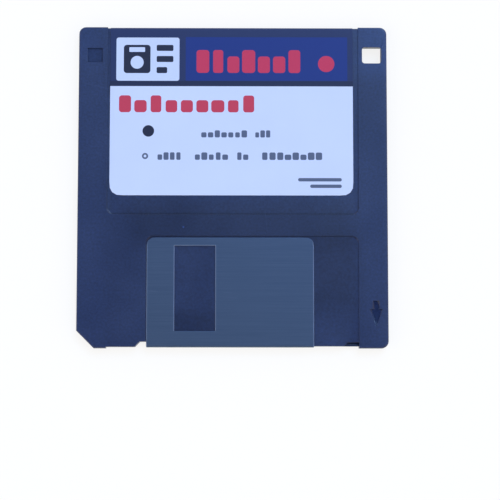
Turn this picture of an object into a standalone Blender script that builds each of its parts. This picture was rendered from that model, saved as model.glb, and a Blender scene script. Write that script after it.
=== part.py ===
"""A 90 mm flexible disk cartridge: two moulded case halves that hold a thin magnetic disk on a steel
hub between two liners, a spring-returned sheet-metal shutter, a write-protect slider and a label.

The case lies on its back, label side up. +X is to the right seen from the label side, +Y points to the
labelled (trailing) end and -Y to the shutter (leading) end. The origin is under the hub's axis, on the
back of the case. All sizes are in metres.
"""

import math

import bmesh
import bpy
import numpy as np
from mathutils import Vector

# Magnetic disk and hub
DISK_DIAMETER = 0.0860
DISK_FILM = 0.00008
HUB_DIAMETER = 0.0250
HUB_STEEL = 0.0003
HUB_FLANGE = 0.0020  # width of the rim that the film is bonded to
HUB_FILM_ROOM = 0.0001  # hub's side to the film's hole
HUB_FACE_DEPTH = 0.00022  # hub's outer face below the back of the case
HUB_BEND = 0.0002
HUB_SQUARE = 0.0040
HUB_SLOT_LENGTH = 0.0076
HUB_SLOT_WIDTH = 0.0034
HUB_SLOT_OFFSET = 0.0088  # hub's axis to the middle of the drive slot
HUB_SLOT_CORNER = 0.0008
ADHESIVE = 0.0001

# Case, from the inside outwards
DISK_RIM_ROOM = 0.0004  # film's rim to the chamber rib
SIDE_ROOM = 0.0006  # chamber to the inside of the side walls
WALL = 0.0010
LEADING_END = 0.0040  # film's rim to the leading edge
TRAILING_END = 0.0040
PLATE = 0.0009
LINER = 0.00025
FILM_AIR = 0.00044  # free height between the film and each liner
GLUE = 0.00002
PARTING_GAP = 0.00004
CORNER_RADIUS = 0.0020
CORNER_CHAMFER = 0.0050
RIM_RADIUS = 0.0004
RIB_BITE = 0.0003  # how far ribs and bosses sink into the plate or wall that carries them

# Openings for the hub and for the heads
HUB_OPENING_ROOM = 0.00075
HUB_LIFT = 0.00007  # running gap under the hub's rim
HUB_TO_HEAD_SLOT = 0.0035
HEAD_SLOT_WIDTH = 0.0090
HEAD_SLOT_RIM = 0.0015  # slot's outer end to the disk's rim
HEAD_SLOT_CORNER = 0.0008
THRUST_RING_WIDTH = 0.0015
THRUST_RING_INSET = 0.0015  # thrust ring to the hub's side
THRUST_RING_ROOM = 0.0003

# Liners and lifter
LINER_HUB_ROOM = 0.0030
LINER_RIM = 0.0010  # liner's edge to the disk's rim
LINER_SLOT_ROOM = 0.0010
LIFTER_LENGTH = 0.0200
LIFTER_BASE = 0.0080
LIFTER_WIDTH = 0.0080
LIFTER_LEAF = 0.00012
LIFTER_RIM = 0.0030  # lifter's outer end to the disk's rim
LIFTER_BELOW_AXIS = 0.0080
LIFTER_POCKET = 0.00025
LIFTER_ROOM = 0.0003
LIFTER_BEND = 0.0100

# Shutter
SHEET = 0.0002
SHEET_BEND = 0.00012
SHUTTER_AIR = 0.00006  # sheet to the recess floor
SHUTTER_BELOW = 0.00006  # sheet's outer face below the face of the case
SHUTTER_SEAL = 0.0005  # how far the closed window stays from the head slot
WINDOW_WIDTH = 0.0118
WINDOW_REACH = 0.0006  # window beyond each end of the head slot
WINDOW_CORNER = 0.0003
WINDOW_MARGIN = 0.00805
SHUTTER_COVER = 0.0285  # from the window to the closed shutter's right edge
SHUTTER_BORDER = 0.00235
SHUTTER_CORNER = 0.0022
SHUTTER_ROOM = 0.0005  # shutter's inner edge to the recess
SHUTTER_SIDE_ROOM = 0.0002
SHUTTER_END_ROOM = 0.0007
WEB_INSET = 0.0003  # shutter's folded edge behind the case's corners
WEB_AIR = 0.0001
RECESS_CORNER = 0.0020
TAB_WIDTH = 0.0024
TAB_FROM_EDGE = 0.0060
TAB_SLOT = 0.0011  # height of the hole that the tab is bent out of
TAB_LIP = 0.00045
TAB_LIP_ROOM = 0.0002
TAB_ROOM = 0.00015

# Leading edge of the case
STEP_FROM_SIDE = 0.0085  # where the leading edge steps back between the corners
LEFT_STEP = 0.0004
NOTCH_LENGTH = 0.0046
NOTCH_DEPTH = 0.0015
NOTCH_UNDER_SHUTTER = 0.00125
BLIND_NOTCH_LENGTH = 0.0044
BLIND_NOTCH_DEPTH = 0.0011

# Shutter spring
SPRING_WIRE = 0.0004
SPRING_COIL_RADIUS = 0.0016
SPRING_GAP = 0.00005
SPRING_RISE = 0.0076  # coil above the line between the spring's two ends
SPRING_SEAT = 0.0001

# Write-protect hole and slider
HOLE_WIDTH = 0.0056
HOLE_LENGTH = 0.0048
HOLE_FROM_SIDE = 0.0016
HOLE_FROM_TRAILING = 0.0059
HOLE_CORNER = 0.0008
SLIDER_COVER = 0.0002  # slider beyond the hole's edge when it covers the hole
SLIDER_LAP = 0.00035
SLIDER_ROOM = 0.00005
SLIDER_SIDE_ROOM = 0.00015
SLIDER_END_WALL = 0.0007
SLIDER_WINDOW_END = 0.0003
KNOB_ROOM = 0.0001
KNOB_DEPTH = 0.00015
KNOB_GROOVE_WIDTH = 0.0014
KNOB_GROOVE_DEPTH = 0.0004
GUIDE_RIB = 0.0008

# Label and its recess
LABEL_WIDTH = 0.07085
LABEL_FRONT = 0.0497
LABEL_BACK = 0.0175
LABEL_CORNER = 0.0030
LABEL_OFFSET = -0.00038  # label's middle beside the hub's axis
LABEL_PAPER = 0.0001
LABEL_BELOW = 0.00015
LABEL_RECESS_WIDTH = 0.0732
LABEL_FRONT_ROOM = 0.0056
LABEL_BACK_ROOM = 0.0012
LABEL_EDGE_RADIUS = 0.0004

# Marks and holes of the case
SQUARE_WIDTH = 0.00445
SQUARE_LENGTH = 0.0042
SQUARE_FROM_SIDE = 0.0025
SQUARE_FROM_TRAILING = 0.0063
SQUARE_DEPTH = 0.0005
ARROW_FROM_SIDE = 0.00355
ARROW_TIP_FROM_LEADING = 0.0062
ARROW_LENGTH = 0.0075
ARROW_SHAFT_WIDTH = 0.0018
ARROW_HEAD_WIDTH = 0.0036
ARROW_HEAD_LENGTH = 0.0051
ARROW_DEPTH = 0.0004
LOCATOR_DIAMETER = 0.0036
LOCATOR_SLOT = 0.0008  # extra length of the oblong locating hole
LOCATOR_FROM_SIDE = 0.0050
LOCATOR_FROM_TRAILING = 0.0160
LOCATOR_DEPTH = 0.0012
LOCATOR_BOSS_WALL = 0.0010
PIN_RADIUS = 0.0012
PIN_ROOM = 0.00005
PIN_BOSS_WALL = 0.0008
PIN_TIP_ROOM = 0.0002
TRAILING_PIN_FROM_SIDE = 0.0120
TRAILING_PIN_FROM_END = 0.0040
LEADING_PIN_FROM_SIDE = 0.0040
LEADING_PIN_FROM_END = 0.0185

# Facets
LARGE_ROUND = 96
SMALL_ROUND = 32
CORNER_STEPS = 5
BEND_STEPS = 3
REACH = 0.0010  # how far a cutter passes the face that it cuts

# Radii round the hub's axis
disk_radius = DISK_DIAMETER / 2
chamber_radius = disk_radius + DISK_RIM_ROOM
hub_radius = HUB_DIAMETER / 2
flange_radius = hub_radius + HUB_FLANGE
film_hole = hub_radius + HUB_FILM_ROOM

# Edges of the case seen from the label side
right = chamber_radius + SIDE_ROOM + WALL
left = -right
trailing = disk_radius + TRAILING_END
leading = -disk_radius - LEADING_END

# Heights, from the back of the case
cavity_low = PLATE
film_low = PLATE + GLUE + LINER + FILM_AIR
film_high = film_low + DISK_FILM
cavity_high = film_high + FILM_AIR + LINER + GLUE
face = cavity_high + PLATE
middle = face / 2
adhesive_high = film_low - GLUE
flange_high = adhesive_high - ADHESIVE - GLUE
flange_low = flange_high - HUB_STEEL

# Head slot and shutter, closed
slot_inner = -(flange_radius + HUB_TO_HEAD_SLOT)
slot_outer = -(disk_radius - HEAD_SLOT_RIM)
window_right = -HEAD_SLOT_WIDTH / 2 - SHUTTER_SEAL
window_left = window_right - WINDOW_WIDTH
window_inner = slot_inner + WINDOW_REACH
window_outer = slot_outer - WINDOW_REACH
shutter_left = window_left - WINDOW_MARGIN
shutter_right = window_right + SHUTTER_COVER
shutter_inner = window_inner + SHUTTER_BORDER
shutter_travel = WINDOW_WIDTH + SHUTTER_SEAL
web_inner = leading + WEB_INSET + SHEET
path_edge = web_inner + WEB_AIR
path_wall = path_edge + WALL
shutter_recess = SHUTTER_BELOW + SHEET + SHUTTER_AIR
recess_left = shutter_left - SHUTTER_SIDE_ROOM
recess_right = shutter_right + shutter_travel + SHUTTER_END_ROOM
recess_inner = shutter_inner + SHUTTER_ROOM
tab_lefts = (shutter_left + TAB_FROM_EDGE, shutter_right - TAB_FROM_EDGE - TAB_WIDTH)

# Write-protect hole and the slider's pocket
hole_right = right - HOLE_FROM_SIDE
hole_left = hole_right - HOLE_WIDTH
hole_high = trailing - HOLE_FROM_TRAILING
hole_low = hole_high - HOLE_LENGTH
pocket_left = hole_left - SLIDER_LAP - SLIDER_SIDE_ROOM
pocket_right = right - WALL
pocket_low = hole_low - SLIDER_COVER - SLIDER_ROOM
pocket_high = trailing - SLIDER_END_WALL
window_high = pocket_high - SLIDER_WINDOW_END
slider_length = HOLE_LENGTH + SLIDER_COVER + SLIDER_ROOM
slider_low = hole_high + SLIDER_ROOM
slider_travel = slider_low - (hole_low - SLIDER_COVER)

# Leading edge, from the left
step_left = left + STEP_FROM_SIDE
step_right = right - STEP_FROM_SIDE
notch_right = shutter_left + NOTCH_UNDER_SHUTTER
notch_left = notch_right - NOTCH_LENGTH
notch_inner = leading + LEFT_STEP + NOTCH_DEPTH
blind_left = step_right - BLIND_NOTCH_LENGTH
blind_inner = path_edge + BLIND_NOTCH_DEPTH

# Label and its recess
label_front_end = trailing - LABEL_FRONT
label_back_end = trailing - LABEL_BACK
label_recess = LABEL_BELOW + LABEL_PAPER + GLUE


def clear_scene():
    for found in list(bpy.data.objects):
        bpy.data.objects.remove(found)


def new_collection(name):
    collection = bpy.data.collections.new(name)
    bpy.context.scene.collection.children.link(collection)
    return collection


def new_material(name, colour, roughness, metallic=0.0):
    material = bpy.data.materials.new(name)
    material.use_nodes = True
    shader = material.node_tree.nodes["Principled BSDF"]
    shader.inputs["Base Color"].default_value = (*colour, 1.0)
    shader.inputs["Roughness"].default_value = roughness
    shader.inputs["Metallic"].default_value = metallic
    material.diffuse_color = (*colour, 1.0)
    return material


clear_scene()
parts = new_collection("floppy_disk")
helpers = new_collection("shape_helpers")
helpers.hide_render = True

shell_plastic = new_material("navy_plastic", (0.030, 0.046, 0.120), 0.55)
shutter_steel = new_material("brushed_shutter_steel", (0.25, 0.32, 0.42), 0.38, 0.9)
hub_steel = new_material("stamped_hub_steel", (0.60, 0.60, 0.58), 0.30, 1.0)
spring_steel = new_material("spring_wire", (0.45, 0.45, 0.45), 0.35, 1.0)
disk_coating = new_material("oxide_coating", (0.030, 0.022, 0.018), 0.25)
liner_fibre = new_material("liner_fibre", (0.80, 0.80, 0.78), 0.95)
lifter_film = new_material("lifter_film", (0.70, 0.62, 0.45), 0.40)
adhesive_tape = new_material("adhesive_tape", (0.75, 0.72, 0.62), 0.60)
slider_plastic = new_material("slider_plastic", (0.020, 0.028, 0.060), 0.50)
label_paper = new_material("label_paper", (0.54, 0.66, 0.98), 0.60)


def arc(x, y, radius, start, end, steps):
    """Points on a circle from one angle in degrees to another, both ends included."""
    angles = np.radians(np.linspace(start, end, steps + 1))
    return list(zip(x + radius * np.cos(angles), y + radius * np.sin(angles)))


def circle(x, y, radius, steps):
    return arc(x, y, radius, 0, 360, steps)[:-1]


def rounded(x0, y0, x1, y1, low_radius, high_radius=None):
    """A rectangle whose corners at y0 and at y1 have these radii. 0 leaves a sharp corner."""
    high_radius = low_radius if high_radius is None else high_radius
    points = []
    corners = (
        (x0, y0, 1, 1, low_radius, 180),
        (x1, y0, -1, 1, low_radius, 270),
        (x1, y1, -1, -1, high_radius, 0),
        (x0, y1, 1, -1, high_radius, 90),
    )
    for x, y, inward_x, inward_y, radius, start in corners:
        if radius:
            middle_of_arc = (x + inward_x * radius, y + inward_y * radius)
            points += arc(*middle_of_arc, radius, start, start + 90, CORNER_STEPS)
        else:
            points.append((x, y))
    return points


def case_outline(inset, lead):
    """The case's outline moved inwards by inset, with its leading edge at lead."""
    radius = max(CORNER_RADIUS - inset, inset / 2)
    outline = rounded(left + inset, lead, right - inset, trailing - inset, radius)
    # The chamfer is the line x + y = chamfer_sum
    chamfer_sum = left + leading + CORNER_CHAMFER + inset * math.sqrt(2)
    chamfer = [(left + inset, chamfer_sum - left - inset), (chamfer_sum - lead, lead)]
    return chamfer + outline[CORNER_STEPS + 1 :]


def new_object(name, mesh, collection):
    made = bpy.data.objects.new(name, mesh)
    collection.objects.link(made)
    if collection is helpers:
        made.hide_render = True
        made.display_type = "WIRE"
    return made


def face_outwards(bm):
    bmesh.ops.recalc_face_normals(bm, faces=bm.faces)
    if bm.calc_volume(signed=True) < 0:
        bmesh.ops.reverse_faces(bm, faces=bm.faces)


def mesh_from(bm, name):
    mesh = bpy.data.meshes.new(name)
    bm.to_mesh(mesh)
    bm.free()
    return mesh


def plate(name, loops, low, high, collection=helpers):
    """A flat piece between two heights. The first loop is its outline and the others are holes in it."""
    curve = bpy.data.curves.new(name, "CURVE")
    curve.dimensions = "2D"
    curve.fill_mode = "BOTH"
    curve.extrude = (high - low) / 2
    for loop in loops:
        spline = curve.splines.new("POLY")
        spline.points.add(len(loop) - 1)
        spline.use_cyclic_u = True
        for point, (x, y) in zip(spline.points, loop):
            point.co = (x, y, 0, 1)
    outline = bpy.data.objects.new(name, curve)
    bpy.context.scene.collection.objects.link(outline)
    graph = bpy.context.evaluated_depsgraph_get()
    mesh = bpy.data.meshes.new_from_object(outline.evaluated_get(graph))
    bpy.data.objects.remove(outline)
    bpy.data.curves.remove(curve)
    bm = bmesh.new()
    bm.from_mesh(mesh)
    bpy.data.meshes.remove(mesh)
    bmesh.ops.remove_doubles(bm, verts=bm.verts, dist=1e-6)
    bmesh.ops.dissolve_limit(bm, angle_limit=math.radians(0.1), verts=bm.verts, edges=bm.edges)
    bmesh.ops.translate(bm, verts=bm.verts, vec=(0, 0, (low + high) / 2))
    face_outwards(bm)
    return new_object(name, mesh_from(bm, name), collection)


def block(name, x0, y0, z0, x1, y1, z1, collection=helpers):
    bm = bmesh.new()
    bmesh.ops.create_cube(bm, size=1)
    bmesh.ops.scale(bm, verts=bm.verts, vec=(x1 - x0, y1 - y0, z1 - z0))
    bmesh.ops.translate(bm, verts=bm.verts, vec=((x0 + x1) / 2, (y0 + y1) / 2, (z0 + z1) / 2))
    return new_object(name, mesh_from(bm, name), collection)


def disc(name, x, y, radius, z0, z1, segments=SMALL_ROUND):
    bm = bmesh.new()
    bmesh.ops.create_cone(
        bm, cap_ends=True, segments=segments, radius1=radius, radius2=radius, depth=z1 - z0
    )
    bmesh.ops.translate(bm, verts=bm.verts, vec=(x, y, (z0 + z1) / 2))
    return new_object(name, mesh_from(bm, name), helpers)


def side_profile(name, points, x0, x1):
    """A prism along X whose section is given as (y, z) points."""
    made = plate(name, [points], x0, x1)
    # (y, z, x) turned into (x, y, z) keeps the handedness
    for vertex in made.data.vertices:
        y, z, x = vertex.co
        vertex.co = (x, y, z)
    return made


def boolean(target, word, operation, others):
    """One exact Boolean with a group of helper objects, which are kept in a collection of their own."""
    group = bpy.data.collections.new(f"{target.name}_{word}")
    group.hide_render = True
    helpers.children.link(group)
    for other in others:
        helpers.objects.unlink(other)
        group.objects.link(other)
    modifier = target.modifiers.new(word, "BOOLEAN")
    modifier.operation = operation
    modifier.operand_type = "COLLECTION"
    modifier.collection = group
    modifier.solver = "EXACT"


def cut(target, word, *cutters):
    boolean(target, word, "DIFFERENCE", cutters)


def add(target, word, *additions):
    boolean(target, word, "UNION", additions)


def round_rim(shell, height):
    """Rounds the outer edge of a case half, all the way round at the given height."""
    bm = bmesh.new()
    bm.from_mesh(shell.data)
    rim = [edge for edge in bm.edges if all(abs(v.co.z - height) < 1e-6 for v in edge.verts)]
    bmesh.ops.bevel(
        bm, geom=rim, offset=RIM_RADIUS, offset_type="OFFSET", segments=BEND_STEPS,
        profile=0.5, affect="EDGES",
    )
    bm.to_mesh(shell.data)
    bm.free()


def fold_stations(corners, radius):
    """Where a folded strip runs: its length so far, its inner face's (y, z) and its outward direction.

    The strip follows the corner points, and each corner is a bend with this inner radius."""
    points = [Vector(corner) for corner in corners]
    stations = []
    gone = 0.0
    start = points[0]
    for before, corner, after in zip(points, points[1:], points[2:]):
        heading = (corner - before).normalized()
        leaving = (after - corner).normalized()
        turn = math.atan2(heading.cross(leaving), heading.dot(leaving))
        side = math.copysign(1, turn)
        inward = Vector((-heading.y, heading.x)) * side
        bend_start = corner - heading * radius * math.tan(abs(turn) / 2)
        centre = bend_start + inward * radius
        stations.append((gone, *start, *-inward))
        gone += (bend_start - start).length
        for step in range(BEND_STEPS + 1):
            angle = turn * step / BEND_STEPS
            spoke = -inward
            spoke = Vector(
                (
                    spoke.x * math.cos(angle) - spoke.y * math.sin(angle),
                    spoke.x * math.sin(angle) + spoke.y * math.cos(angle),
                )
            )
            length = gone + radius * abs(angle)
            stations.append((length, *(centre + spoke * radius), *spoke))
        gone += radius * abs(turn)
        start = centre + spoke * radius
    gone += (points[-1] - start).length
    stations.append((gone, *points[-1], *spoke))
    return np.array(stations)


def fold(blank, stations):
    """Bends a flat blank, whose y is length along the strip and whose z is thickness, along the stations."""
    bm = bmesh.new()
    bm.from_mesh(blank.data)
    for length in stations[1:-1, 0]:
        bmesh.ops.bisect_plane(
            bm, geom=bm.verts[:] + bm.edges[:] + bm.faces[:], dist=1e-7,
            plane_co=(0, length, 0), plane_no=(0, 1, 0),
        )
    bmesh.ops.triangulate(bm, faces=bm.faces)
    flat = np.array([vertex.co for vertex in bm.verts])
    y, z, outward_y, outward_z = (
        np.interp(flat[:, 1], stations[:, 0], stations[:, column]) for column in range(1, 5)
    )
    bent = np.column_stack([flat[:, 0], y + outward_y * flat[:, 2], z + outward_z * flat[:, 2]])
    for vertex, place in zip(bm.verts, bent):
        vertex.co = place
    face_outwards(bm)
    bm.to_mesh(blank.data)
    bm.free()


def smooth(part, material, sharp_degrees=30):
    part.data.materials.clear()
    part.data.materials.append(material)
    part.data.shade_smooth()
    part.data.set_sharp_from_angle(angle=math.radians(sharp_degrees))


def joint_empty(name, place):
    empty = bpy.data.objects.new(name, None)
    empty.location = place
    parts.objects.link(empty)
    return empty


def seat_on(empty, *pieces):
    """Gives each piece the empty's place as its origin and hangs it on the empty."""
    for piece in pieces:
        if piece.type == "MESH":
            offset = Vector(empty.location) - piece.location
            for vertex in piece.data.vertices:
                vertex.co -= offset
            piece.location = (0, 0, 0)
        else:
            piece.location = Vector(piece.location) - Vector(empty.location)
        piece.parent = empty


def chamber_rib(name, low, high):
    """The round rib that the disk turns inside, bitten into the side walls where it meets them."""
    outer = right - WALL + RIB_BITE
    return plate(name, [circle(0, 0, outer, LARGE_ROUND), circle(0, 0, chamber_radius, LARGE_ROUND)], low, high)


def pin_places():
    for side in (-1, 1):
        yield side * (right - TRAILING_PIN_FROM_SIDE), trailing - TRAILING_PIN_FROM_END
        yield side * (right - LEADING_PIN_FROM_SIDE), leading + LEADING_PIN_FROM_END


def leading_edge_cutter():
    """What is cut from the leading edge of both halves: a step between the corners and the opener's notch."""
    outline = [
        (step_left, leading - REACH),
        (step_left, leading + LEFT_STEP),
        (notch_left, leading + LEFT_STEP),
        (notch_left + NOTCH_DEPTH, notch_inner),
        (notch_right, notch_inner),
        (notch_right, path_edge),
        (step_right, path_edge),
        (step_right, leading - REACH),
    ]
    return plate("leading_edge_cut", [outline[::-1]], -REACH, face + REACH)


def blind_notch_cutter():
    outline = [
        (blind_left, leading - REACH),
        (step_right, leading - REACH),
        (step_right, blind_inner),
        (blind_left + BLIND_NOTCH_DEPTH, blind_inner),
        (blind_left, path_edge),
    ]
    return plate("blind_notch_cut", [outline], middle, face + REACH)


def tab_slit_cutter():
    """The slit between the halves in which the shutter's tabs run."""
    half_height = SHEET / 2 + TAB_ROOM
    side_room = SHUTTER_END_ROOM
    return block(
        "tab_slit_cut",
        tab_lefts[0] - side_room, leading - REACH, middle - half_height,
        tab_lefts[1] + TAB_WIDTH + shutter_travel + side_room, path_wall + RIB_BITE, middle + half_height,
    )


def label_recess_cutter(name, end, low, high):
    """The recess that wraps round the trailing edge, with the corners rounded at its end on one face."""
    side = LABEL_RECESS_WIDTH / 2
    edge = trailing - label_recess - LABEL_EDGE_RADIUS
    over_edge = arc(edge, face - label_recess - LABEL_EDGE_RADIUS, LABEL_EDGE_RADIUS, 90, 0, CORNER_STEPS)
    under_edge = arc(edge, label_recess + LABEL_EDGE_RADIUS, LABEL_EDGE_RADIUS, 0, -90, CORNER_STEPS)
    profile = [(end - REACH, face + REACH), (end - REACH, face - label_recess)]
    profile += over_edge + under_edge
    profile += [(end - REACH, label_recess), (end - REACH, -REACH)]
    profile += [(trailing + REACH, -REACH), (trailing + REACH, face + REACH)]
    cutter = side_profile(name, profile, -side - REACH, side + REACH)
    outline = rounded(-side, end, side, trailing + 2 * REACH, RECESS_CORNER, 0)
    boolean(cutter, "outline", "INTERSECT", [plate(name + "_outline", [outline], low, high)])
    return cutter


def slider_end_cutter():
    """Squares the cavity's corner, and thins the wall there, where the slider rests."""
    start = pocket_high - CORNER_RADIUS
    return block("slider_end_cut", pocket_left, start, cavity_low, pocket_right, pocket_high, cavity_high)


def cutters_of_both_halves():
    head_slot = rounded(
        -HEAD_SLOT_WIDTH / 2, slot_outer, HEAD_SLOT_WIDTH / 2, slot_inner, HEAD_SLOT_CORNER
    )
    return (
        leading_edge_cutter(),
        tab_slit_cutter(),
        slider_end_cutter(),
        plate("head_slot", [head_slot], -REACH, face + REACH),
    )


def shutter_recess_cutter(name, low, high):
    outline = rounded(recess_left, leading - 2 * REACH, recess_right, recess_inner, 0, RECESS_CORNER)
    return plate(name, [outline], low, high)


def front_shell():
    """The label side of the case."""
    parting = middle + PARTING_GAP / 2
    root = cavity_high + RIB_BITE
    shell = plate("front_shell", [case_outline(0, leading)], parting, face, parts)
    round_rim(shell, face)
    cut(shell, "cavity", plate("front_cavity", [case_outline(WALL, path_wall)], parting - REACH, cavity_high))
    ring_outer = hub_radius - THRUST_RING_INSET
    ring = [circle(0, 0, radius, SMALL_ROUND * 2) for radius in (ring_outer, ring_outer - THRUST_RING_WIDTH)]
    tip = cavity_low + 2 * PIN_TIP_ROOM
    add(
        shell,
        "ribs",
        chamber_rib("front_chamber_rib", parting, root),
        plate("thrust_ring", ring, film_high + THRUST_RING_ROOM, root),
        block(
            "front_notch_wall", notch_left - WALL, path_wall - RIB_BITE, parting,
            notch_right + WALL, notch_inner + WALL, root,
        ),
        block(
            "blind_notch_wall", blind_left - WALL, path_wall - RIB_BITE, parting,
            step_right + WALL, blind_inner + WALL, root,
        ),
        *[disc("weld_pin", x, y, PIN_RADIUS, tip, root) for x, y in pin_places()],
    )
    hole = rounded(hole_left, hole_low, hole_right, hole_high, HOLE_CORNER)
    square_left = left + SQUARE_FROM_SIDE
    square_high = trailing - SQUARE_FROM_TRAILING
    square = rounded(square_left, square_high - SQUARE_LENGTH, square_left + SQUARE_WIDTH, square_high, 0)
    label_end = label_front_end - LABEL_FRONT_ROOM
    cut(
        shell,
        "recesses",
        shutter_recess_cutter("front_shutter_recess", face - shutter_recess, face + REACH),
        label_recess_cutter("front_label_recess", label_end, middle, face + 2 * REACH),
        plate("front_hole", [hole], middle, face + REACH),
        plate("blind_square", [square], face - SQUARE_DEPTH, face + REACH),
        plate("insertion_arrow", [arrow_outline()], face - ARROW_DEPTH, face + REACH),
        blind_notch_cutter(),
        *cutters_of_both_halves(),
    )
    return shell


def arrow_outline():
    """An arrow that points to the leading edge."""
    x = right - ARROW_FROM_SIDE
    tip = leading + ARROW_TIP_FROM_LEADING
    shoulder = tip + ARROW_HEAD_LENGTH
    top = tip + ARROW_LENGTH
    shaft, head = ARROW_SHAFT_WIDTH / 2, ARROW_HEAD_WIDTH / 2
    return [
        (x, tip), (x + head, shoulder), (x + shaft, shoulder), (x + shaft, top),
        (x - shaft, top), (x - shaft, shoulder), (x - head, shoulder),
    ]


def locator(name, x, extra, grow, low, high):
    """A locating hole's outline, or its boss's when grow is the boss's wall. extra makes it oblong."""
    y = trailing - LOCATOR_FROM_TRAILING
    radius = LOCATOR_DIAMETER / 2 + grow
    half = SMALL_ROUND // 2
    outline = arc(x + extra / 2, y, radius, -90, 90, half) + arc(x - extra / 2, y, radius, 90, 270, half)
    if not extra:
        outline = circle(x, y, radius, SMALL_ROUND)
    return plate(name, [outline], low, high)


def back_shell():
    """The hub side of the case."""
    parting = middle - PARTING_GAP / 2
    root = cavity_low - RIB_BITE
    shell = plate("back_shell", [case_outline(0, leading)], 0, parting, parts)
    round_rim(shell, 0)
    cut(shell, "cavity", plate("back_cavity", [case_outline(WALL, path_wall)], cavity_low, parting + REACH))
    hub_opening = hub_radius + HUB_OPENING_ROOM
    rim = (flange_radius + hub_opening) / 2 + HUB_OPENING_ROOM
    bore = PIN_RADIUS + PIN_ROOM
    round_locator = right - LOCATOR_FROM_SIDE
    oblong_locator = left + LOCATOR_FROM_SIDE
    add(
        shell,
        "ribs",
        chamber_rib("back_chamber_rib", root, parting),
        disc("hub_opening_rim", 0, 0, rim, root, flange_low - HUB_LIFT, SMALL_ROUND * 2),
        block(
            "back_notch_wall", notch_left - WALL, path_wall - RIB_BITE, root,
            notch_right + WALL, notch_inner + WALL, parting,
        ),
        block(
            "slider_guide", pocket_left - GUIDE_RIB, pocket_low - GUIDE_RIB, root,
            pocket_left, trailing - WALL + RIB_BITE, parting,
        ),
        block(
            "slider_stop", pocket_left - GUIDE_RIB / 2, pocket_low - GUIDE_RIB, root,
            pocket_right + RIB_BITE, pocket_low, parting,
        ),
        *[disc("pin_boss", x, y, bore + PIN_BOSS_WALL, root, parting) for x, y in pin_places()],
        locator("round_locator_boss", round_locator, 0, LOCATOR_BOSS_WALL, root, parting),
        locator("oblong_locator_boss", oblong_locator, LOCATOR_SLOT, LOCATOR_BOSS_WALL, root, parting),
    )
    window = rounded(hole_left, hole_low, hole_right, window_high, HOLE_CORNER)
    label_end = label_back_end - LABEL_BACK_ROOM
    bore_low = cavity_low + PIN_TIP_ROOM
    cut(
        shell,
        "recesses",
        disc("hub_opening", 0, 0, hub_opening, -REACH, middle, SMALL_ROUND * 2),
        shutter_recess_cutter("back_shutter_recess", -REACH, shutter_recess),
        label_recess_cutter("back_label_recess", label_end, -2 * REACH, middle),
        plate("slider_window", [window], -REACH, cavity_low + REACH),
        lifter_pocket(),
        *[disc("pin_bore", x, y, bore, bore_low, parting + REACH) for x, y in pin_places()],
        locator("round_locator", round_locator, 0, 0, -REACH, LOCATOR_DEPTH),
        locator("oblong_locator", oblong_locator, LOCATOR_SLOT, 0, -REACH, LOCATOR_DEPTH),
        *cutters_of_both_halves(),
    )
    return shell


def lifter_start():
    return -(disk_radius - LIFTER_RIM)


def lifter_pocket():
    x = lifter_start()
    half = LIFTER_WIDTH / 2 + LIFTER_ROOM
    return block(
        "lifter_pocket",
        x - LIFTER_ROOM, -LIFTER_BELOW_AXIS - half, cavity_low - LIFTER_POCKET,
        x + LIFTER_LENGTH + LIFTER_ROOM, -LIFTER_BELOW_AXIS + half, cavity_low + GLUE / 2,
    )


def lifter():
    """A springy leaf whose free end presses the back liner against the disk."""
    low = cavity_low - LIFTER_POCKET + GLUE
    rise = LIFTER_POCKET - GLUE - LIFTER_LEAF
    base_end = (LIFTER_BASE, low)
    stations = fold_stations([(0, low), base_end, (LIFTER_LENGTH, low + rise)], LIFTER_BEND)
    width = LIFTER_WIDTH / 2
    blank = rounded(-width, 0, width, stations[-1, 0], width / 4)
    # The leaf turns upwards, so its thickness lies on the outer, lower side of the bend
    leaf = plate("lifter", [blank], -LIFTER_LEAF, 0, parts)
    fold(leaf, stations)
    leaf.rotation_euler.z = math.radians(-90)
    leaf.location = (lifter_start(), -LIFTER_BELOW_AXIS, 0)
    return leaf


def liner(name, low):
    """A fibre ring, open at the head slot."""
    outer = disk_radius - LINER_RIM
    inner = flange_radius + LINER_HUB_ROOM
    half_slot = HEAD_SLOT_WIDTH / 2 + LINER_SLOT_ROOM
    outer_gap = math.degrees(math.asin(half_slot / outer))
    inner_gap = math.degrees(math.asin(half_slot / inner))
    outline = arc(0, 0, outer, -90 + outer_gap, 270 - outer_gap, LARGE_ROUND)
    outline += arc(0, 0, inner, 270 - inner_gap, -90 + inner_gap, SMALL_ROUND * 2)
    return plate(name, [outline], low, low + LINER, parts)


def magnetic_disk():
    return plate(
        "magnetic_disk",
        [circle(0, 0, disk_radius, LARGE_ROUND), circle(0, 0, film_hole, SMALL_ROUND * 2)],
        film_low, film_high, parts,
    )


def hub_adhesive_ring():
    return plate(
        "hub_adhesive_ring",
        [circle(0, 0, flange_radius, SMALL_ROUND * 2), circle(0, 0, film_hole, SMALL_ROUND * 2)],
        adhesive_high - ADHESIVE, adhesive_high, parts,
    )


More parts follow.
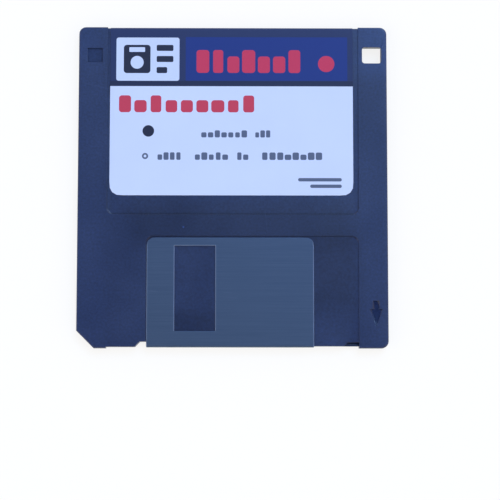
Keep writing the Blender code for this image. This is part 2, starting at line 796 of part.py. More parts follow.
def hub():
    """The stamped hub: a dished plate with a rim, a square centring hole and a drive slot."""
    start = HUB_SQUARE / 4
    low = HUB_FACE_DEPTH
    dish_bend = (hub_radius - HUB_STEEL - HUB_BEND, low + HUB_STEEL + HUB_BEND)
    rim_bend = (hub_radius + HUB_BEND, flange_low - HUB_BEND)
    outer_radius = HUB_STEEL + HUB_BEND
    under = [(start, low)]
    under += arc(*dish_bend, outer_radius, -90, 0, BEND_STEPS)
    under += arc(*rim_bend, HUB_BEND, 180, 90, BEND_STEPS)
    under += [(flange_radius, flange_low)]
    over = [(flange_radius, flange_high)]
    over += arc(*rim_bend, outer_radius, 90, 180, BEND_STEPS)
    over += arc(*dish_bend, HUB_BEND, 0, -90, BEND_STEPS)
    over += [(start, low + HUB_STEEL)]
    bm = bmesh.new()
    section = [bm.verts.new((x, 0, z)) for x, z in under + over]
    for one, other in zip(section, section[1:] + section[:1]):
        bm.edges.new((one, other))
    plate_of_hub = new_object("hub", mesh_from(bm, "hub"), parts)
    screw = plate_of_hub.modifiers.new("turned", "SCREW")
    screw.axis = "Z"
    screw.angle = math.tau
    screw.steps = screw.render_steps = SMALL_ROUND * 2
    screw.use_merge_vertices = True
    screw.merge_threshold = 1e-6
    screw.use_normal_calculate = True
    half = HUB_SQUARE / 2
    slot = rounded(
        HUB_SLOT_OFFSET - HUB_SLOT_WIDTH / 2, -HUB_SLOT_LENGTH / 2,
        HUB_SLOT_OFFSET + HUB_SLOT_WIDTH / 2, HUB_SLOT_LENGTH / 2, HUB_SLOT_CORNER,
    )
    cut(
        plate_of_hub,
        "punched",
        block("centring_hole", -half, -half, -REACH, half, half, middle),
        plate("drive_slot", [slot], -REACH, middle),
    )
    return plate_of_hub


def shutter_tab(x):
    """A tab bent into the slit between the halves, with a lip that catches behind the wall."""
    under = middle - SHEET / 2
    lip = path_wall + TAB_LIP_ROOM
    stations = fold_stations([(web_inner - SHEET / 2, under), (lip, under), (lip, under - TAB_LIP)], SHEET_BEND)
    blank = plate("shutter_tab", [rounded(x, 0, x + TAB_WIDTH, stations[-1, 0], 0)], 0, SHEET)
    fold(blank, stations)
    return blank


def shutter():
    """One blank of sheet steel, cut flat with its windows and tab holes and folded over the leading edge."""
    front_inner = face - shutter_recess + SHUTTER_AIR
    back_inner = shutter_recess - SHUTTER_AIR
    corners = [
        (shutter_inner, front_inner), (web_inner, front_inner),
        (web_inner, back_inner), (shutter_inner, back_inner),
    ]
    stations = fold_stations(corners, SHEET_BEND)
    length = stations[-1, 0]
    loops = [rounded(shutter_left, 0, shutter_right, length, SHUTTER_CORNER)]
    near = shutter_inner - window_inner
    far = shutter_inner - window_outer
    for start, end in ((near, far), (length - far, length - near)):
        loops.append(rounded(window_left, start, window_right, end, WINDOW_CORNER))
    web_start = stations[1 + BEND_STEPS]
    tab_hole_end = web_start[0] + web_start[2] - (middle + SHEET)
    for x in tab_lefts:
        loops.append(rounded(x, tab_hole_end - TAB_SLOT, x + TAB_WIDTH, tab_hole_end, 0))
    sheet = plate("shutter", loops, 0, SHEET, parts)
    fold(sheet, stations)
    add(sheet, "tabs", *[shutter_tab(x) for x in tab_lefts])
    return sheet


def shutter_spring():
    """A torsion spring: two legs, from the shutter's tab and from the corner, tangent to a flat coil."""
    wire = SPRING_WIRE / 2
    tab_end = Vector((tab_lefts[1] + TAB_WIDTH + SPRING_SEAT + wire, path_wall + SPRING_SEAT + wire))
    corner_end = Vector((right - WALL - SPRING_SEAT - wire, path_wall + CORNER_RADIUS / 2 + wire))
    centre = (tab_end + corner_end) / 2 + Vector((0, SPRING_RISE))

    def tangent_angle(end, side):
        away = end - centre
        return math.atan2(away.y, away.x) % math.tau + side * math.acos(SPRING_COIL_RADIUS / away.length)

    start = tangent_angle(tab_end, -1)
    sweep = start - tangent_angle(corner_end, 1) + 2 * math.tau
    steps = round(sweep / math.radians(24))
    rise = (SPRING_WIRE + SPRING_GAP) * sweep / math.tau
    turns = np.linspace(0, 1, steps + 1)
    angles = start - turns * sweep
    coil = np.column_stack([
        centre.x + SPRING_COIL_RADIUS * np.cos(angles),
        centre.y + SPRING_COIL_RADIUS * np.sin(angles),
        middle - rise / 2 + turns * rise,
    ])
    points = [(*tab_end, middle), *coil, (*corner_end, middle)]
    curve = bpy.data.curves.new("shutter_spring", "CURVE")
    curve.dimensions = "3D"
    curve.bevel_depth = wire
    curve.bevel_resolution = 2
    curve.use_fill_caps = True
    spline = curve.splines.new("POLY")
    spline.points.add(len(points) - 1)
    for point, place in zip(spline.points, points):
        point.co = (*place, 1)
    curve.materials.append(spring_steel)
    spring = bpy.data.objects.new("shutter_spring", curve)
    parts.objects.link(spring)
    return spring


def write_protect_slider():
    """The slider, parked at the trailing end of its pocket, so the hole is open."""
    high = slider_low + slider_length
    slider = block(
        "write_protect_slider",
        pocket_left + SLIDER_SIDE_ROOM, slider_low, cavity_low + SLIDER_ROOM,
        pocket_right - SLIDER_SIDE_ROOM, high, cavity_high - SLIDER_ROOM, parts,
    )
    knob_low = hole_low + KNOB_ROOM + slider_travel
    knob_high = window_high - KNOB_ROOM
    groove = (knob_low + knob_high) / 2
    knob = rounded(hole_left + KNOB_ROOM, knob_low, hole_right - KNOB_ROOM, knob_high, HOLE_CORNER)
    add(slider, "knob", plate("slider_knob", [knob], KNOB_DEPTH, cavity_low + SLIDER_ROOM + RIB_BITE))
    cut(
        slider,
        "groove",
        block(
            "knob_groove", hole_left, groove - KNOB_GROOVE_WIDTH / 2, -REACH,
            hole_right, groove + KNOB_GROOVE_WIDTH / 2, KNOB_DEPTH + KNOB_GROOVE_DEPTH,
        ),
    )
    return slider


def label():
    """A paper label that wraps over the trailing edge onto the back."""
    front = face - label_recess + GLUE
    back = label_recess - GLUE
    edge = trailing - label_recess + GLUE
    corners = [(label_front_end, front), (edge, front), (edge, back), (label_back_end, back)]
    stations = fold_stations(corners, LABEL_EDGE_RADIUS + GLUE)
    side = LABEL_WIDTH / 2
    blank = rounded(LABEL_OFFSET - side, 0, LABEL_OFFSET + side, stations[-1, 0], LABEL_CORNER)
    paper = plate("label", [blank], 0, LABEL_PAPER, parts)
    fold(paper, stations)
    return paper


def build():
    case = joint_empty("case", (0, 0, 0))
    shutter_slide = joint_empty("shutter_slide", (shutter_left, leading, middle))
    disk_axis = joint_empty("disk_axis", (0, 0, flange_low))
    slider_rail = joint_empty("slider_rail", ((hole_left + hole_right) / 2, slider_low, cavity_low))

    pieces = {
        front_shell(): (shell_plastic, case),
        back_shell(): (shell_plastic, case),
        liner("front_liner", cavity_high - GLUE - LINER): (liner_fibre, case),
        liner("back_liner", cavity_low + GLUE): (liner_fibre, case),
        label(): (label_paper, case),
        shutter(): (shutter_steel, shutter_slide),
        magnetic_disk(): (disk_coating, disk_axis),
        hub(): (hub_steel, disk_axis),
        hub_adhesive_ring(): (adhesive_tape, disk_axis),
        write_protect_slider(): (slider_plastic, slider_rail),
    }
    for piece, (material, carrier) in pieces.items():
        smooth(piece, material)
        seat_on(carrier, piece)
    leaf = lifter()
    smooth(leaf, lifter_film)
    leaf.parent = case
    shutter_spring().parent = case


build()
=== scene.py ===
import math

import bmesh
import bpy
import numpy as np
from mathutils import Matrix, Vector


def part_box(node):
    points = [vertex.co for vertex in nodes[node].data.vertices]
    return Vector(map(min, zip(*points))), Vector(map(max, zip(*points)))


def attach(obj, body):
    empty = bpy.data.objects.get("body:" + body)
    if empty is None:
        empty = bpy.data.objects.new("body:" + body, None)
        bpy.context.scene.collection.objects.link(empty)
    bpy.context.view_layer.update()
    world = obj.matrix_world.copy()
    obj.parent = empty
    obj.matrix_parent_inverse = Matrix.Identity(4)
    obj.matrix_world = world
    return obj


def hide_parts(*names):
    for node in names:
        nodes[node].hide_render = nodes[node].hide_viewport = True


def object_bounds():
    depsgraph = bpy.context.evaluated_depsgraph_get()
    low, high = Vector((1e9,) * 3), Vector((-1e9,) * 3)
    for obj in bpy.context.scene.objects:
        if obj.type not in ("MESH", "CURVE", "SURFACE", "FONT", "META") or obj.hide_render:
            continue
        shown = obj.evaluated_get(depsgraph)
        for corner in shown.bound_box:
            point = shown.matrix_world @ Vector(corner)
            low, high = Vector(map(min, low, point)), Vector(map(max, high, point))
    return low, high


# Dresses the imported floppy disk: soft edges on the moulded and stamped parts, a folded shutter and a
# wrapped label worked out as grids, and a procedural finish for every piece. Metres, +Z up.

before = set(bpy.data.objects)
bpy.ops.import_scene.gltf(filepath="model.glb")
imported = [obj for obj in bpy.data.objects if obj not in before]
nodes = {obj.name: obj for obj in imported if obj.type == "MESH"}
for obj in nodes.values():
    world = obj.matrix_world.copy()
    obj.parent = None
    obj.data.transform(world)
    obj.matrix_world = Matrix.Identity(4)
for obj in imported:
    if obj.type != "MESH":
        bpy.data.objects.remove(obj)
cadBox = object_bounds()
scene = bpy.context.scene
mm = 0.001
print("frame loaded:", len(nodes), "nodes")


def fromScreen(red, green, blue):
    # 8-bit screen colour to the linear colour that a shader takes
    share = np.array((red, green, blue)) / 255
    linear = np.where(share <= 0.04045, share / 12.92, ((share + 0.055) / 1.055) ** 2.4)
    return (*(float(part) for part in linear), 1.0)


# Meshes

meshing = dict(
    mergeWithin=0.001 * mm,
    flatWithin=0.5,  # degrees between faces that count as one
    solidSharpAngle=40,  # degrees between faces from which an edge stays sharp
    sheetSharpAngle=50,
    closeLines=(0, 0.08, 0.25, 0.55, 1.0, 1.4),  # lines beside an edge, as shares of its rounding
    onTheLine=1e-9,  # metres
    linesApart=0.002 * mm,  # of two lines that are closer, one goes
    bendSteps=8,
)


def addPiece(name, mesh, bm, sharpAngle):
    # normals are weighted by area, so a flat face stays flat up to its rounded edge
    bm.to_mesh(mesh)
    bm.free()
    mesh.shade_smooth()
    mesh.set_sharp_from_angle(angle=math.radians(sharpAngle))
    piece = bpy.data.objects.new(name, mesh)
    scene.collection.objects.link(piece)
    weighted = piece.modifiers.new("flat faces stay flat", "WEIGHTED_NORMAL")
    weighted.keep_sharp = True
    return piece


def sheetPiece(name, points, faces):
    # a closed mesh from arrays of points and four-cornered faces, faces turned outwards
    mesh = bpy.data.meshes.new(name)
    mesh.from_pydata(points.tolist(), [], faces.tolist())
    bm = bmesh.new()
    bm.from_mesh(mesh)
    bmesh.ops.recalc_face_normals(bm, faces=bm.faces)
    return addPiece(name, mesh, bm, meshing["sheetSharpAngle"])


def softCopy(name, nodeName, width, chosen=lambda point: True):
    # a merged copy of a node whose sharp outer edges, where chosen(middle of edge) says so, are eased by
    # a two-step bevel
    mesh = bpy.data.meshes.new(name)
    bm = bmesh.new()
    bm.from_mesh(nodes[nodeName].data)
    bmesh.ops.remove_doubles(bm, verts=bm.verts, dist=meshing["mergeWithin"])
    flat = math.radians(meshing["flatWithin"])
    bmesh.ops.dissolve_limit(bm, angle_limit=flat, verts=bm.verts, edges=bm.edges)
    sharp = math.radians(meshing["solidSharpAngle"])
    edges = [
        edge for edge in bm.edges
        if edge.calc_face_angle_signed(0) > sharp and chosen((edge.verts[0].co + edge.verts[1].co) / 2)
    ]
    bmesh.ops.bevel(
        bm, geom=edges, offset=width, offset_type="OFFSET", segments=2, profile=0.5,
        affect="EDGES", clamp_overlap=True,
    )
    bmesh.ops.triangulate(bm, faces=[face for face in bm.faces if len(face.verts) > 4])
    return addPiece(name, mesh, bm, meshing["solidSharpAngle"])


def gridLines(edges, rounding, pitch):
    # close lines on both sides of every edge, so that it can be rounded, and even ones between them
    steps = np.array(meshing["closeLines"]) * rounding
    lines = np.concatenate([edge + side * steps for edge in edges for side in (-1, 1)])
    slack = meshing["onTheLine"]
    lines = lines[(lines >= min(edges) - slack) & (lines <= max(edges) + slack)]
    lines = np.unique(np.round(lines, 8))
    between = [
        np.linspace(start, end, math.ceil((end - start) / pitch) + 1)[1:-1]
        for start, end in zip(lines, lines[1:])
    ]
    return np.sort(np.concatenate([lines, *between]))


def stripLines(edges, rounding, pitch, path):
    # the same for a strip's length, with a line at each point of its path too
    lines = np.sort(np.concatenate([gridLines(edges, rounding, pitch), path[1:-1, 0]]))
    return lines[np.concatenate([[True], np.diff(lines) > meshing["linesApart"]])]


def roundedCorners(x, y, low, high, radius):
    # squares round each corner of the rectangle become arcs: a point (a, b) from the corner's centre
    # moves to (a, b) * max(a, b) / hypot(a, b)
    middle, half = (low + high) / 2, (high - low) / 2
    a = np.clip(np.abs(x - middle[0]) - (half[0] - radius), 0, radius)
    b = np.clip(np.abs(y - middle[1]) - (half[1] - radius), 0, radius)
    shrink = np.maximum(a, b) / np.maximum(np.hypot(a, b), 1e-12)
    corner = (a > 0) & (b > 0)
    newX = middle[0] + np.sign(x - middle[0]) * (half[0] - radius + a * shrink)
    newY = middle[1] + np.sign(y - middle[1]) * (half[1] - radius + b * shrink)
    return np.where(corner, newX, x), np.where(corner, newY, y)


def boxDistance(x, y, low, high, radius=0):
    # how far a point is outside a rectangle with rounded corners, below zero inside it
    middle, half = (low + high) / 2, (high - low) / 2
    a = np.abs(x - middle[0]) - half[0] + radius
    b = np.abs(y - middle[1]) - half[1] + radius
    outside = np.hypot(np.maximum(a, 0), np.maximum(b, 0))
    return outside + np.minimum(np.maximum(a, b), 0) - radius


def rollOff(fromEdge, width):
    # a quarter of an ellipse: 1 at the edge and 0 from that width inwards
    near = 1 - np.clip(fromEdge / width, 0, 1)
    return 1 - np.sqrt(1 - near**2)


def stripPath(corners, radius):
    # The outer face of a strip that follows (y, z) corners and turns each with this outer radius.
    # Columns: length so far, y, z, and the outward direction's y and z.
    corners = np.array(corners)
    rows = []
    for before, corner, after in zip(corners, corners[1:], corners[2:]):
        heading = (corner - before) / np.linalg.norm(corner - before)
        leaving = (after - corner) / np.linalg.norm(after - corner)
        turn = math.atan2(heading[0] * leaving[1] - heading[1] * leaving[0], heading @ leaving)
        outward = np.array((heading[1], -heading[0])) * math.copysign(1, turn)
        centre = corner - heading * radius * math.tan(abs(turn) / 2) - outward * radius
        if not rows:
            rows.append((*before, *outward))
        for angle in np.linspace(0, turn, meshing["bendSteps"] + 1):
            spin = np.array(((math.cos(angle), -math.sin(angle)), (math.sin(angle), math.cos(angle))))
            rows.append((*(centre + spin @ outward * radius), *(spin @ outward)))
        last = spin @ outward
    rows.append((*corners[-1], *last))
    rows = np.array(rows)
    length = np.concatenate([[0], np.cumsum(np.hypot(*np.diff(rows[:, :2], axis=0).T))])
    return np.column_stack([length, rows])


def alongStrip(path, x, length, depth):
    # the point at x, that far along the strip and that deep under its outer face
    y, z, outwardY, outwardZ = (np.interp(length, path[:, 0], path[:, column]) for column in range(1, 5))
    return np.column_stack([x, y - outwardY * depth, z - outwardZ * depth])


def sheetArrays(xs, ys, kept, place):
    # Two grids of points, outer face first. A kept cell is a face of each, and a wall closes the gap
    # between them wherever a kept cell meets one that isn't. place(x, y, level) puts points in space.
    x, y = (part.ravel() for part in np.meshgrid(xs, ys, indexing="ij"))
    points = np.concatenate([place(x, y, level) for level in (0, 1)])
    count = len(x)
    number = np.arange(count).reshape(len(xs), len(ys))
    cells = np.stack([number[:-1, :-1], number[1:, :-1], number[1:, 1:], number[:-1, 1:]], axis=-1)[kept]
    faces = [cells, cells[:, ::-1] + count]
    around = np.pad(kept, 1).astype(int)
    acrossX = np.diff(around[:, 1:-1], axis=0) != 0
    acrossY = np.diff(around[1:-1, :], axis=1) != 0
    walls = (acrossX, number[:, :-1], number[:, 1:]), (acrossY, number[:-1], number[1:])
    for wall, starts, ends in walls:
        start, end = starts[wall], ends[wall]
        faces.append(np.stack([start, end, end + count, start + count], axis=-1))
    used, faces = np.unique(np.concatenate(faces), return_inverse=True)
    return points[used], faces.reshape(-1, 4)


# Shader nodes

noiseRange = (0.3, 0.7)  # nearly all values of a noise lie between these


def put(tree, kind, inputs=None, **settings):
    # one node, its sockets set to plain values or linked to other nodes' sockets
    made = tree.nodes.new("ShaderNode" + kind)
    for key, value in settings.items():
        setattr(made, key, value)
    for key, value in (inputs or {}).items():
        if isinstance(value, bpy.types.NodeSocket):
            tree.links.new(value, made.inputs[key])
        else:
            made.inputs[key].default_value = value
    return made


def reckon(tree, operation, *values, clamp=False):
    made = put(tree, "Math", dict(enumerate(values)), operation=operation, use_clamp=clamp)
    return made.outputs[0]


def product(tree, *values):
    result = values[0]
    for value in values[1:]:
        result = reckon(tree, "MULTIPLY", result, value)
    return result


def rescale(tree, value, fromLow, fromHigh, toLow, toHigh):
    sockets = dict(enumerate((value, fromLow, fromHigh, toLow, toHigh)))
    return put(tree, "MapRange", sockets).outputs[0]


def noise(tree, vector, scale, detail=2.0, roughness=0.5):
    sockets = {"Vector": vector, "Scale": scale, "Detail": detail, "Roughness": roughness}
    return put(tree, "TexNoise", sockets).outputs[0]


def timesVector(tree, vector, factors):
    return put(tree, "VectorMath", {0: vector, 1: factors}, operation="MULTIPLY").outputs[0]


def mixColour(tree, share, first, second):
    made = put(tree, "Mix", {0: share, 6: first, 7: second}, data_type="RGBA")
    return made.outputs[2]


def tint(tree, tone, colour, mask, share):
    # lays a colour over the tone where the mask is, as strongly as the share says
    return mixColour(tree, reckon(tree, "MULTIPLY", mask, share), tone, colour)


def dim(tree, tone, share):
    return put(tree, "VectorMath", {0: tone, "Scale": share}, operation="SCALE").outputs[0]


def shareInside(tree, mask, share):
    # the share where the mask is full, and 1 where it is empty
    return reckon(tree, "MULTIPLY_ADD", mask, share - 1, 1.0)


def newGroup(name, inputs, outputs):
    # an effect that several finishes share; its sockets take numbers, apart from the one named Vector
    group = bpy.data.node_groups.new(name, "ShaderNodeTree")
    for direction, names in (("INPUT", inputs), ("OUTPUT", outputs)):
        for words in names:
            kind = "NodeSocketVector" if words == "Vector" else "NodeSocketFloat"
            group.interface.new_socket(words, in_out=direction, socket_type=kind)
    return group, group.nodes.new("NodeGroupInput").outputs, group.nodes.new("NodeGroupOutput").inputs


def useGroup(tree, group, inputs):
    return put(tree, "Group", inputs, node_tree=group).outputs


moulding = dict(grainNoise=(2.0, 0.6), cloudNoise=(3.0, 0.55))  # detail, roughness


def makeMouldGrain():
    # the fine etched grain of a mould, and slow clouds of tone and gloss
    group, given, result = newGroup(
        "mould grain", ("Vector", "Grain Scale", "Cloud Scale"), ("Height", "Cloud")
    )
    grain = noise(group, given["Vector"], given["Grain Scale"], *moulding["grainNoise"])
    cloud = noise(group, given["Vector"], given["Cloud Scale"], *moulding["cloudNoise"])
    group.links.new(grain, result["Height"])
    group.links.new(cloud, result["Cloud"])
    return group


scratching = dict(
    squeeze=(0.03, 1.0, 0.03),  # the smaller, the longer the scratches are along that axis
    detail=1.0,
    peaks=(0.70, 0.76),  # a scratch begins and is full at these values of the noise
    patchScale=60.0,
    shadeSheenAndSpeckPatches=(0.52, 0.66),
)


def makeHairScratches():
    # Long thin scratches that lie along the leaning direction and come in patches: noise squeezed across
    # its length, kept only where it peaks
    own = scratching
    group, given, result = newGroup(
        "hair scratches", ("Vector", "Lean", "Scale", "Amount"), ("Mask",)
    )
    sockets = {"Vector": given["Vector"], "Angle": given["Lean"]}
    turned = put(group, "VectorRotate", sockets, rotation_type="Z_AXIS").outputs[0]
    lines = noise(group, timesVector(group, turned, own["squeeze"]), given["Scale"], own["detail"])
    peaks = rescale(group, lines, *own["peaks"], 0.0, 1.0)
    shadeSheenAndSpeckPatches = rescale(group, noise(group, given["Vector"], own["patchScale"]), *own["shadeSheenAndSpeckPatches"], 0.0, 1.0)
    group.links.new(product(group, peaks, shadeSheenAndSpeckPatches, given["Amount"]), result["Mask"])
    return group


def makeDustSpecks():
    # one round speck in some of the cells of a Voronoi pattern, each of its own size
    group, given, result = newGroup(
        "dust specks", ("Vector", "Scale", "Size", "Share"), ("Mask",)
    )
    cells = put(group, "TexVoronoi", {"Vector": given["Vector"], "Scale": given["Scale"]})
    chance = put(group, "SeparateColor", {0: cells.outputs["Color"]})
    present = reckon(group, "LESS_THAN", chance.outputs[0], given["Share"])
    reach = reckon(group, "MULTIPLY", given["Size"], chance.outputs[1])
    inside = reckon(group, "LESS_THAN", cells.outputs["Distance"], reach)
    group.links.new(reckon(group, "MULTIPLY", present, inside), result["Mask"])
    return group


brushing = dict(
    squeeze=(0.012, 1.0, 1.0),
    fineNoise=(3.0, 0.7),  # detail, roughness
    coarseNoise=(2.0, 0.6),
    coarseScale=0.3,  # share of the fine streaks' scale
)


def makeBrushedLines():
    # the streaks of a sheet brushed along X, coarse ones over fine ones
    own = brushing
    group, given, result = newGroup("brushed lines", ("Vector", "Scale"), ("Height", "Shade"))
    squeezed = timesVector(group, given["Vector"], own["squeeze"])
    fine = noise(group, squeezed, given["Scale"], *own["fineNoise"])
    coarseScale = reckon(group, "MULTIPLY", given["Scale"], own["coarseScale"])
    coarse = noise(group, squeezed, coarseScale, *own["coarseNoise"])
    shade = reckon(group, "MULTIPLY_ADD", coarse, 0.5, reckon(group, "MULTIPLY", fine, 0.5))
    group.links.new(fine, result["Height"])
    group.links.new(shade, result["Shade"])
    return group


def makeTurnedLines():
    # fine circles round the disk's axis: noise of the radius alone
    group, given, result = newGroup("turned lines", ("Vector", "Scale"), ("Height", "Radius"))
    flat = timesVector(group, given["Vector"], (1.0, 1.0, 0.0))
    radius = put(group, "VectorMath", {0: flat}, operation="LENGTH").outputs["Value"]
    sockets = {"W": radius, "Scale": given["Scale"], "Detail": 2.0}
    rings = put(group, "TexNoise", sockets, noise_dimensions="1D")
    group.links.new(rings.outputs[0], result["Height"])
    group.links.new(radius, result["Radius"])
    return group


printing = dict(
    inkEdge=0.03 * mm,  # half the width of its soft edge
    blockHalf=(0.33, 0.44),  # least and most half width, as shares of the pitch
    tallAbove=0.45,  # a block whose chance is above this is as tall as the row
    lowHeight=0.72,  # the others, as a share of that
    blockCorner=0.5,  # share of the half width
)


def makePrintField():
    # one printed rectangle with round corners: its distance formula, turned into a mask with a soft edge
    group, given, result = newGroup(
        "print field", ("X", "Y", "Left", "Right", "Bottom", "Top", "Corner"), ("Mask",)
    )
    beyond = []
    for place, low, high in (("X", "Left", "Right"), ("Y", "Bottom", "Top")):
        middle = reckon(group, "MULTIPLY", reckon(group, "ADD", given[low], given[high]), 0.5)
        half = reckon(group, "MULTIPLY", reckon(group, "SUBTRACT", given[high], given[low]), 0.5)
        away = reckon(group, "ABSOLUTE", reckon(group, "SUBTRACT", given[place], middle))
        beyond.append(reckon(group, "ADD", reckon(group, "SUBTRACT", away, half), given["Corner"]))
    squares = [reckon(group, "POWER", reckon(group, "MAXIMUM", part, 0.0), 2.0) for part in beyond]
    outside = reckon(group, "SQRT", reckon(group, "ADD", *squares))
    inside = reckon(group, "MINIMUM", reckon(group, "MAXIMUM", *beyond), 0.0)
    distance = reckon(group, "SUBTRACT", reckon(group, "ADD", outside, inside), given["Corner"])
    inkEdge = printing["inkEdge"]
    group.links.new(rescale(group, distance, -inkEdge, inkEdge, 1.0, 0.0), result["Mask"])
    return group


def makePrintRow(field):
    # a row of blocks in place of a printed line: one block a cell, each of its own width and height
    own = printing
    group, given, result = newGroup(
        "print row", ("X", "Y", "Left", "Right", "Bottom", "Top", "Pitch", "Seed"), ("Mask",)
    )
    pitch = given["Pitch"]
    along = reckon(group, "DIVIDE", reckon(group, "SUBTRACT", given["X"], given["Left"]), pitch)
    cell = reckon(group, "FLOOR", along)
    seed = reckon(group, "ADD", cell, given["Seed"])
    chance = put(group, "TexWhiteNoise", {"W": seed}, noise_dimensions="1D").outputs["Color"]
    parts = put(group, "SeparateColor", {0: chance}).outputs
    fromMiddle = reckon(group, "SUBTRACT", reckon(group, "SUBTRACT", along, cell), 0.5)
    half = reckon(group, "MULTIPLY", pitch, rescale(group, parts[0], 0.0, 1.0, *own["blockHalf"]))
    tall = reckon(group, "GREATER_THAN", parts[1], own["tallAbove"])
    tallness = rescale(group, tall, 0.0, 1.0, own["lowHeight"], 1.0)
    height = reckon(group, "SUBTRACT", given["Top"], given["Bottom"])
    block = useGroup(group, field, {
        "X": reckon(group, "MULTIPLY", fromMiddle, pitch),
        "Y": given["Y"],
        "Left": reckon(group, "MULTIPLY", half, -1.0),
        "Right": half,
        "Bottom": given["Bottom"],
        "Top": reckon(group, "MULTIPLY_ADD", height, tallness, given["Bottom"]),
        "Corner": reckon(group, "MULTIPLY", half, own["blockCorner"]),
    })["Mask"]
    started = reckon(group, "GREATER_THAN", given["X"], given["Left"])
    ended = reckon(group, "LESS_THAN", given["X"], given["Right"])
    group.links.new(product(group, started, ended, block), result["Mask"])
    return group


mouldGrain = makeMouldGrain()
hairScratches = makeHairScratches()
dustSpecks = makeDustSpecks()
brushedLines = makeBrushedLines()
turnedLines = makeTurnedLines()
printField = makePrintField()
printRow = makePrintRow(printField)


def scratchMask(tree, coordinates, scratches):
    return useGroup(tree, hairScratches, {"Vector": coordinates, **scratches})["Mask"]


def printedBox(places, left, right, bottom, top):
    # the sockets that printed fields and rows share, from millimetres
    return {
        "X": places[0], "Y": places[1], "Left": left * mm, "Right": right * mm,
        "Bottom": bottom * mm, "Top": top * mm,
    }


def newFinish(name, roughness, metallic=0.0, specular=0.5):
    # an empty finish: its node tree, its shader and the piece's own coordinates
    material = bpy.data.materials.new(name)
    material.use_nodes = True
    tree = material.node_tree
    shader = tree.nodes["Principled BSDF"]
    shader.inputs["Roughness"].default_value = roughness
    shader.inputs["Metallic"].default_value = metallic
    shader.inputs["Specular IOR Level"].default_value = specular
    return material, tree, shader, put(tree, "TexCoord").outputs["Object"]


def connect(tree, shader, tone, gloss, height, distance):
    # gives the shader its colour, its roughness where that changes, and a relief of that height
    relief = put(tree, "Bump", {"Strength": 1.0, "Distance": distance, "Height": height}).outputs[0]
    for name, value in (("Base Color", tone), ("Roughness", gloss), ("Normal", relief)):
        if value is not None:
            tree.links.new(value, shader.inputs[name])


def wear(piece, material):
    piece.data.materials.clear()
    piece.data.materials.append(material)


# Case, slider

casePlastic = dict(
    edgeEasing=0.07 * mm,
    easedUnderFace=0.6 * mm,  # edges this near a face are eased
    easedInFromSide=0.3 * mm,
    colour=fromScreen(23, 39, 78),
    cloudColour=fromScreen(28, 45, 86),
    cloudScale=45.0,
    cloudRange=(0.35, 0.65),
    mottle=(0.76, 1.24),  # fine unevenness of the tone
    mottleNoise=(1500.0, 3.0, 0.6),  # scale, detail, roughness
    roughness=(0.36, 0.44),
    specular=0.5,
    grainScale=4200.0,
    grainHeight=0.005 * mm,
    scratches=(
        {"Lean": math.radians(84), "Scale": 900.0, "Amount": 0.5},
        {"Lean": math.radians(12), "Scale": 900.0, "Amount": 0.35},
    ),
    scratchTone=fromScreen(78, 92, 132),
    scratchShare=0.3,
    scratchGloss=-0.12,  # change of roughness
    dust={"Scale": 160.0, "Size": 0.022, "Share": 0.06},
    dustTone=fromScreen(120, 134, 170),
    dustShare=0.5,
    # floors of the arrow and the blind square, darkened by painted shade: depths (mm), share of the tone,
    # change of roughness
    shadedMarkFloors=((0.36, 0.44, 0.8, -0.22), (0.46, 0.54, 0.88, -0.10)),
    # painted shade, painted sheen and one dust speck, as patches of another tone: left, right, bottom, top,
    # half the width of their edge (mm), tone, roughness
    shadeSheenAndSpeckPatches=(
        # painted shade between the recesses and right of the shutter
        (-29.5, 34.5, -17.0, -5.0, 3.0, 0.75, -0.03),
        (22.0, 36.5, -36.0, -14.0, 3.0, 0.75, -0.03),
        # painted sheen in the upper right and upper left corners
        (35.5, 60.0, 33.0, 60.0, 3.5, 1.45, -0.02),
        (-60.0, -38.0, 37.0, 60.0, 3.5, 1.2, 0.0),
        (-19.5, -2.5, -46.0, -36.6, 2.0, 0.75, -0.04),  # painted shadow of the window's lower edge, seen through the shutter's window
        (-14.45, -14.05, -12.18, -11.78, 0.12, 4.0, 0.0),  # a dust speck
    ),
    patchDepths=(0.7 * mm, 1.5 * mm),  # under the front face, where they begin to fade and are gone
    sideSheenTone=1.08,  # painted sheen: the sides, beyond the label recess, are a shade lighter
    sideSheenEdge=(35.5 * mm, 38.5 * mm),  # from the middle, where that begins and where it is full
    recessShadeBox=(-36.6, 36.6, -8.3, 60.0),  # the painted shade line along the label recess, in millimetres
    recessShadeCorner=2.0,
    recessShadeWidth=0.4,
    recessShadeShare=0.74,  # of the tone
    recessShadeEnd=(-6.0 * mm, 8.0 * mm),  # where the line begins to fade along the sides, and where it is gone
    recessDepth=0.1 * mm,  # what is deeper lies in a recess
)
slider = dict(
    edgeEasing=0.08 * mm,
    colour=fromScreen(30, 38, 66),
    lighter=1.3,  # the clouds, as a share of the colour
    cloudScale=300.0,
    roughness=0.42,
    roughnessRange=(0.36, 0.5),
    grainScale=5000.0,
    grainHeight=0.004 * mm,
)


def insidePatch(tree, places, left, right, bottom, top, edge):
    # 1 inside the rectangle and 0 outside, with a fading edge
    fades = []
    for place, low, high in ((places[0], left, right), (places[1], bottom, top)):
        away = reckon(tree, "ABSOLUTE", reckon(tree, "SUBTRACT", place, (low + high) / 2 * mm))
        reach = (high - low) / 2
        fades.append(rescale(tree, away, (reach - edge) * mm, (reach + edge) * mm, 1.0, 0.0))
    return product(tree, *fades)


def paintedRecessShade(tree, places, depth):
    # painted shade in the corner of the label recess, whose floor is less deep than the marks
    own = casePlastic
    left, right, bottom, top = own["recessShadeBox"]
    boxes = [
        useGroup(tree, printField, {
            **printedBox(places, left + inset, right - inset, bottom + inset, top),
            "Corner": (own["recessShadeCorner"] - inset) * mm,
        })["Mask"]
        for inset in (0.0, own["recessShadeWidth"])
    ]
    inRecess = reckon(tree, "GREATER_THAN", depth, own["recessDepth"])
    aboveMarks = reckon(tree, "LESS_THAN", depth, own["shadedMarkFloors"][0][0] * mm)
    fading = rescale(tree, places[1], *own["recessShadeEnd"], 1.0, 0.0)
    return product(tree, reckon(tree, "SUBTRACT", *boxes), inRecess, aboveMarks, fading)


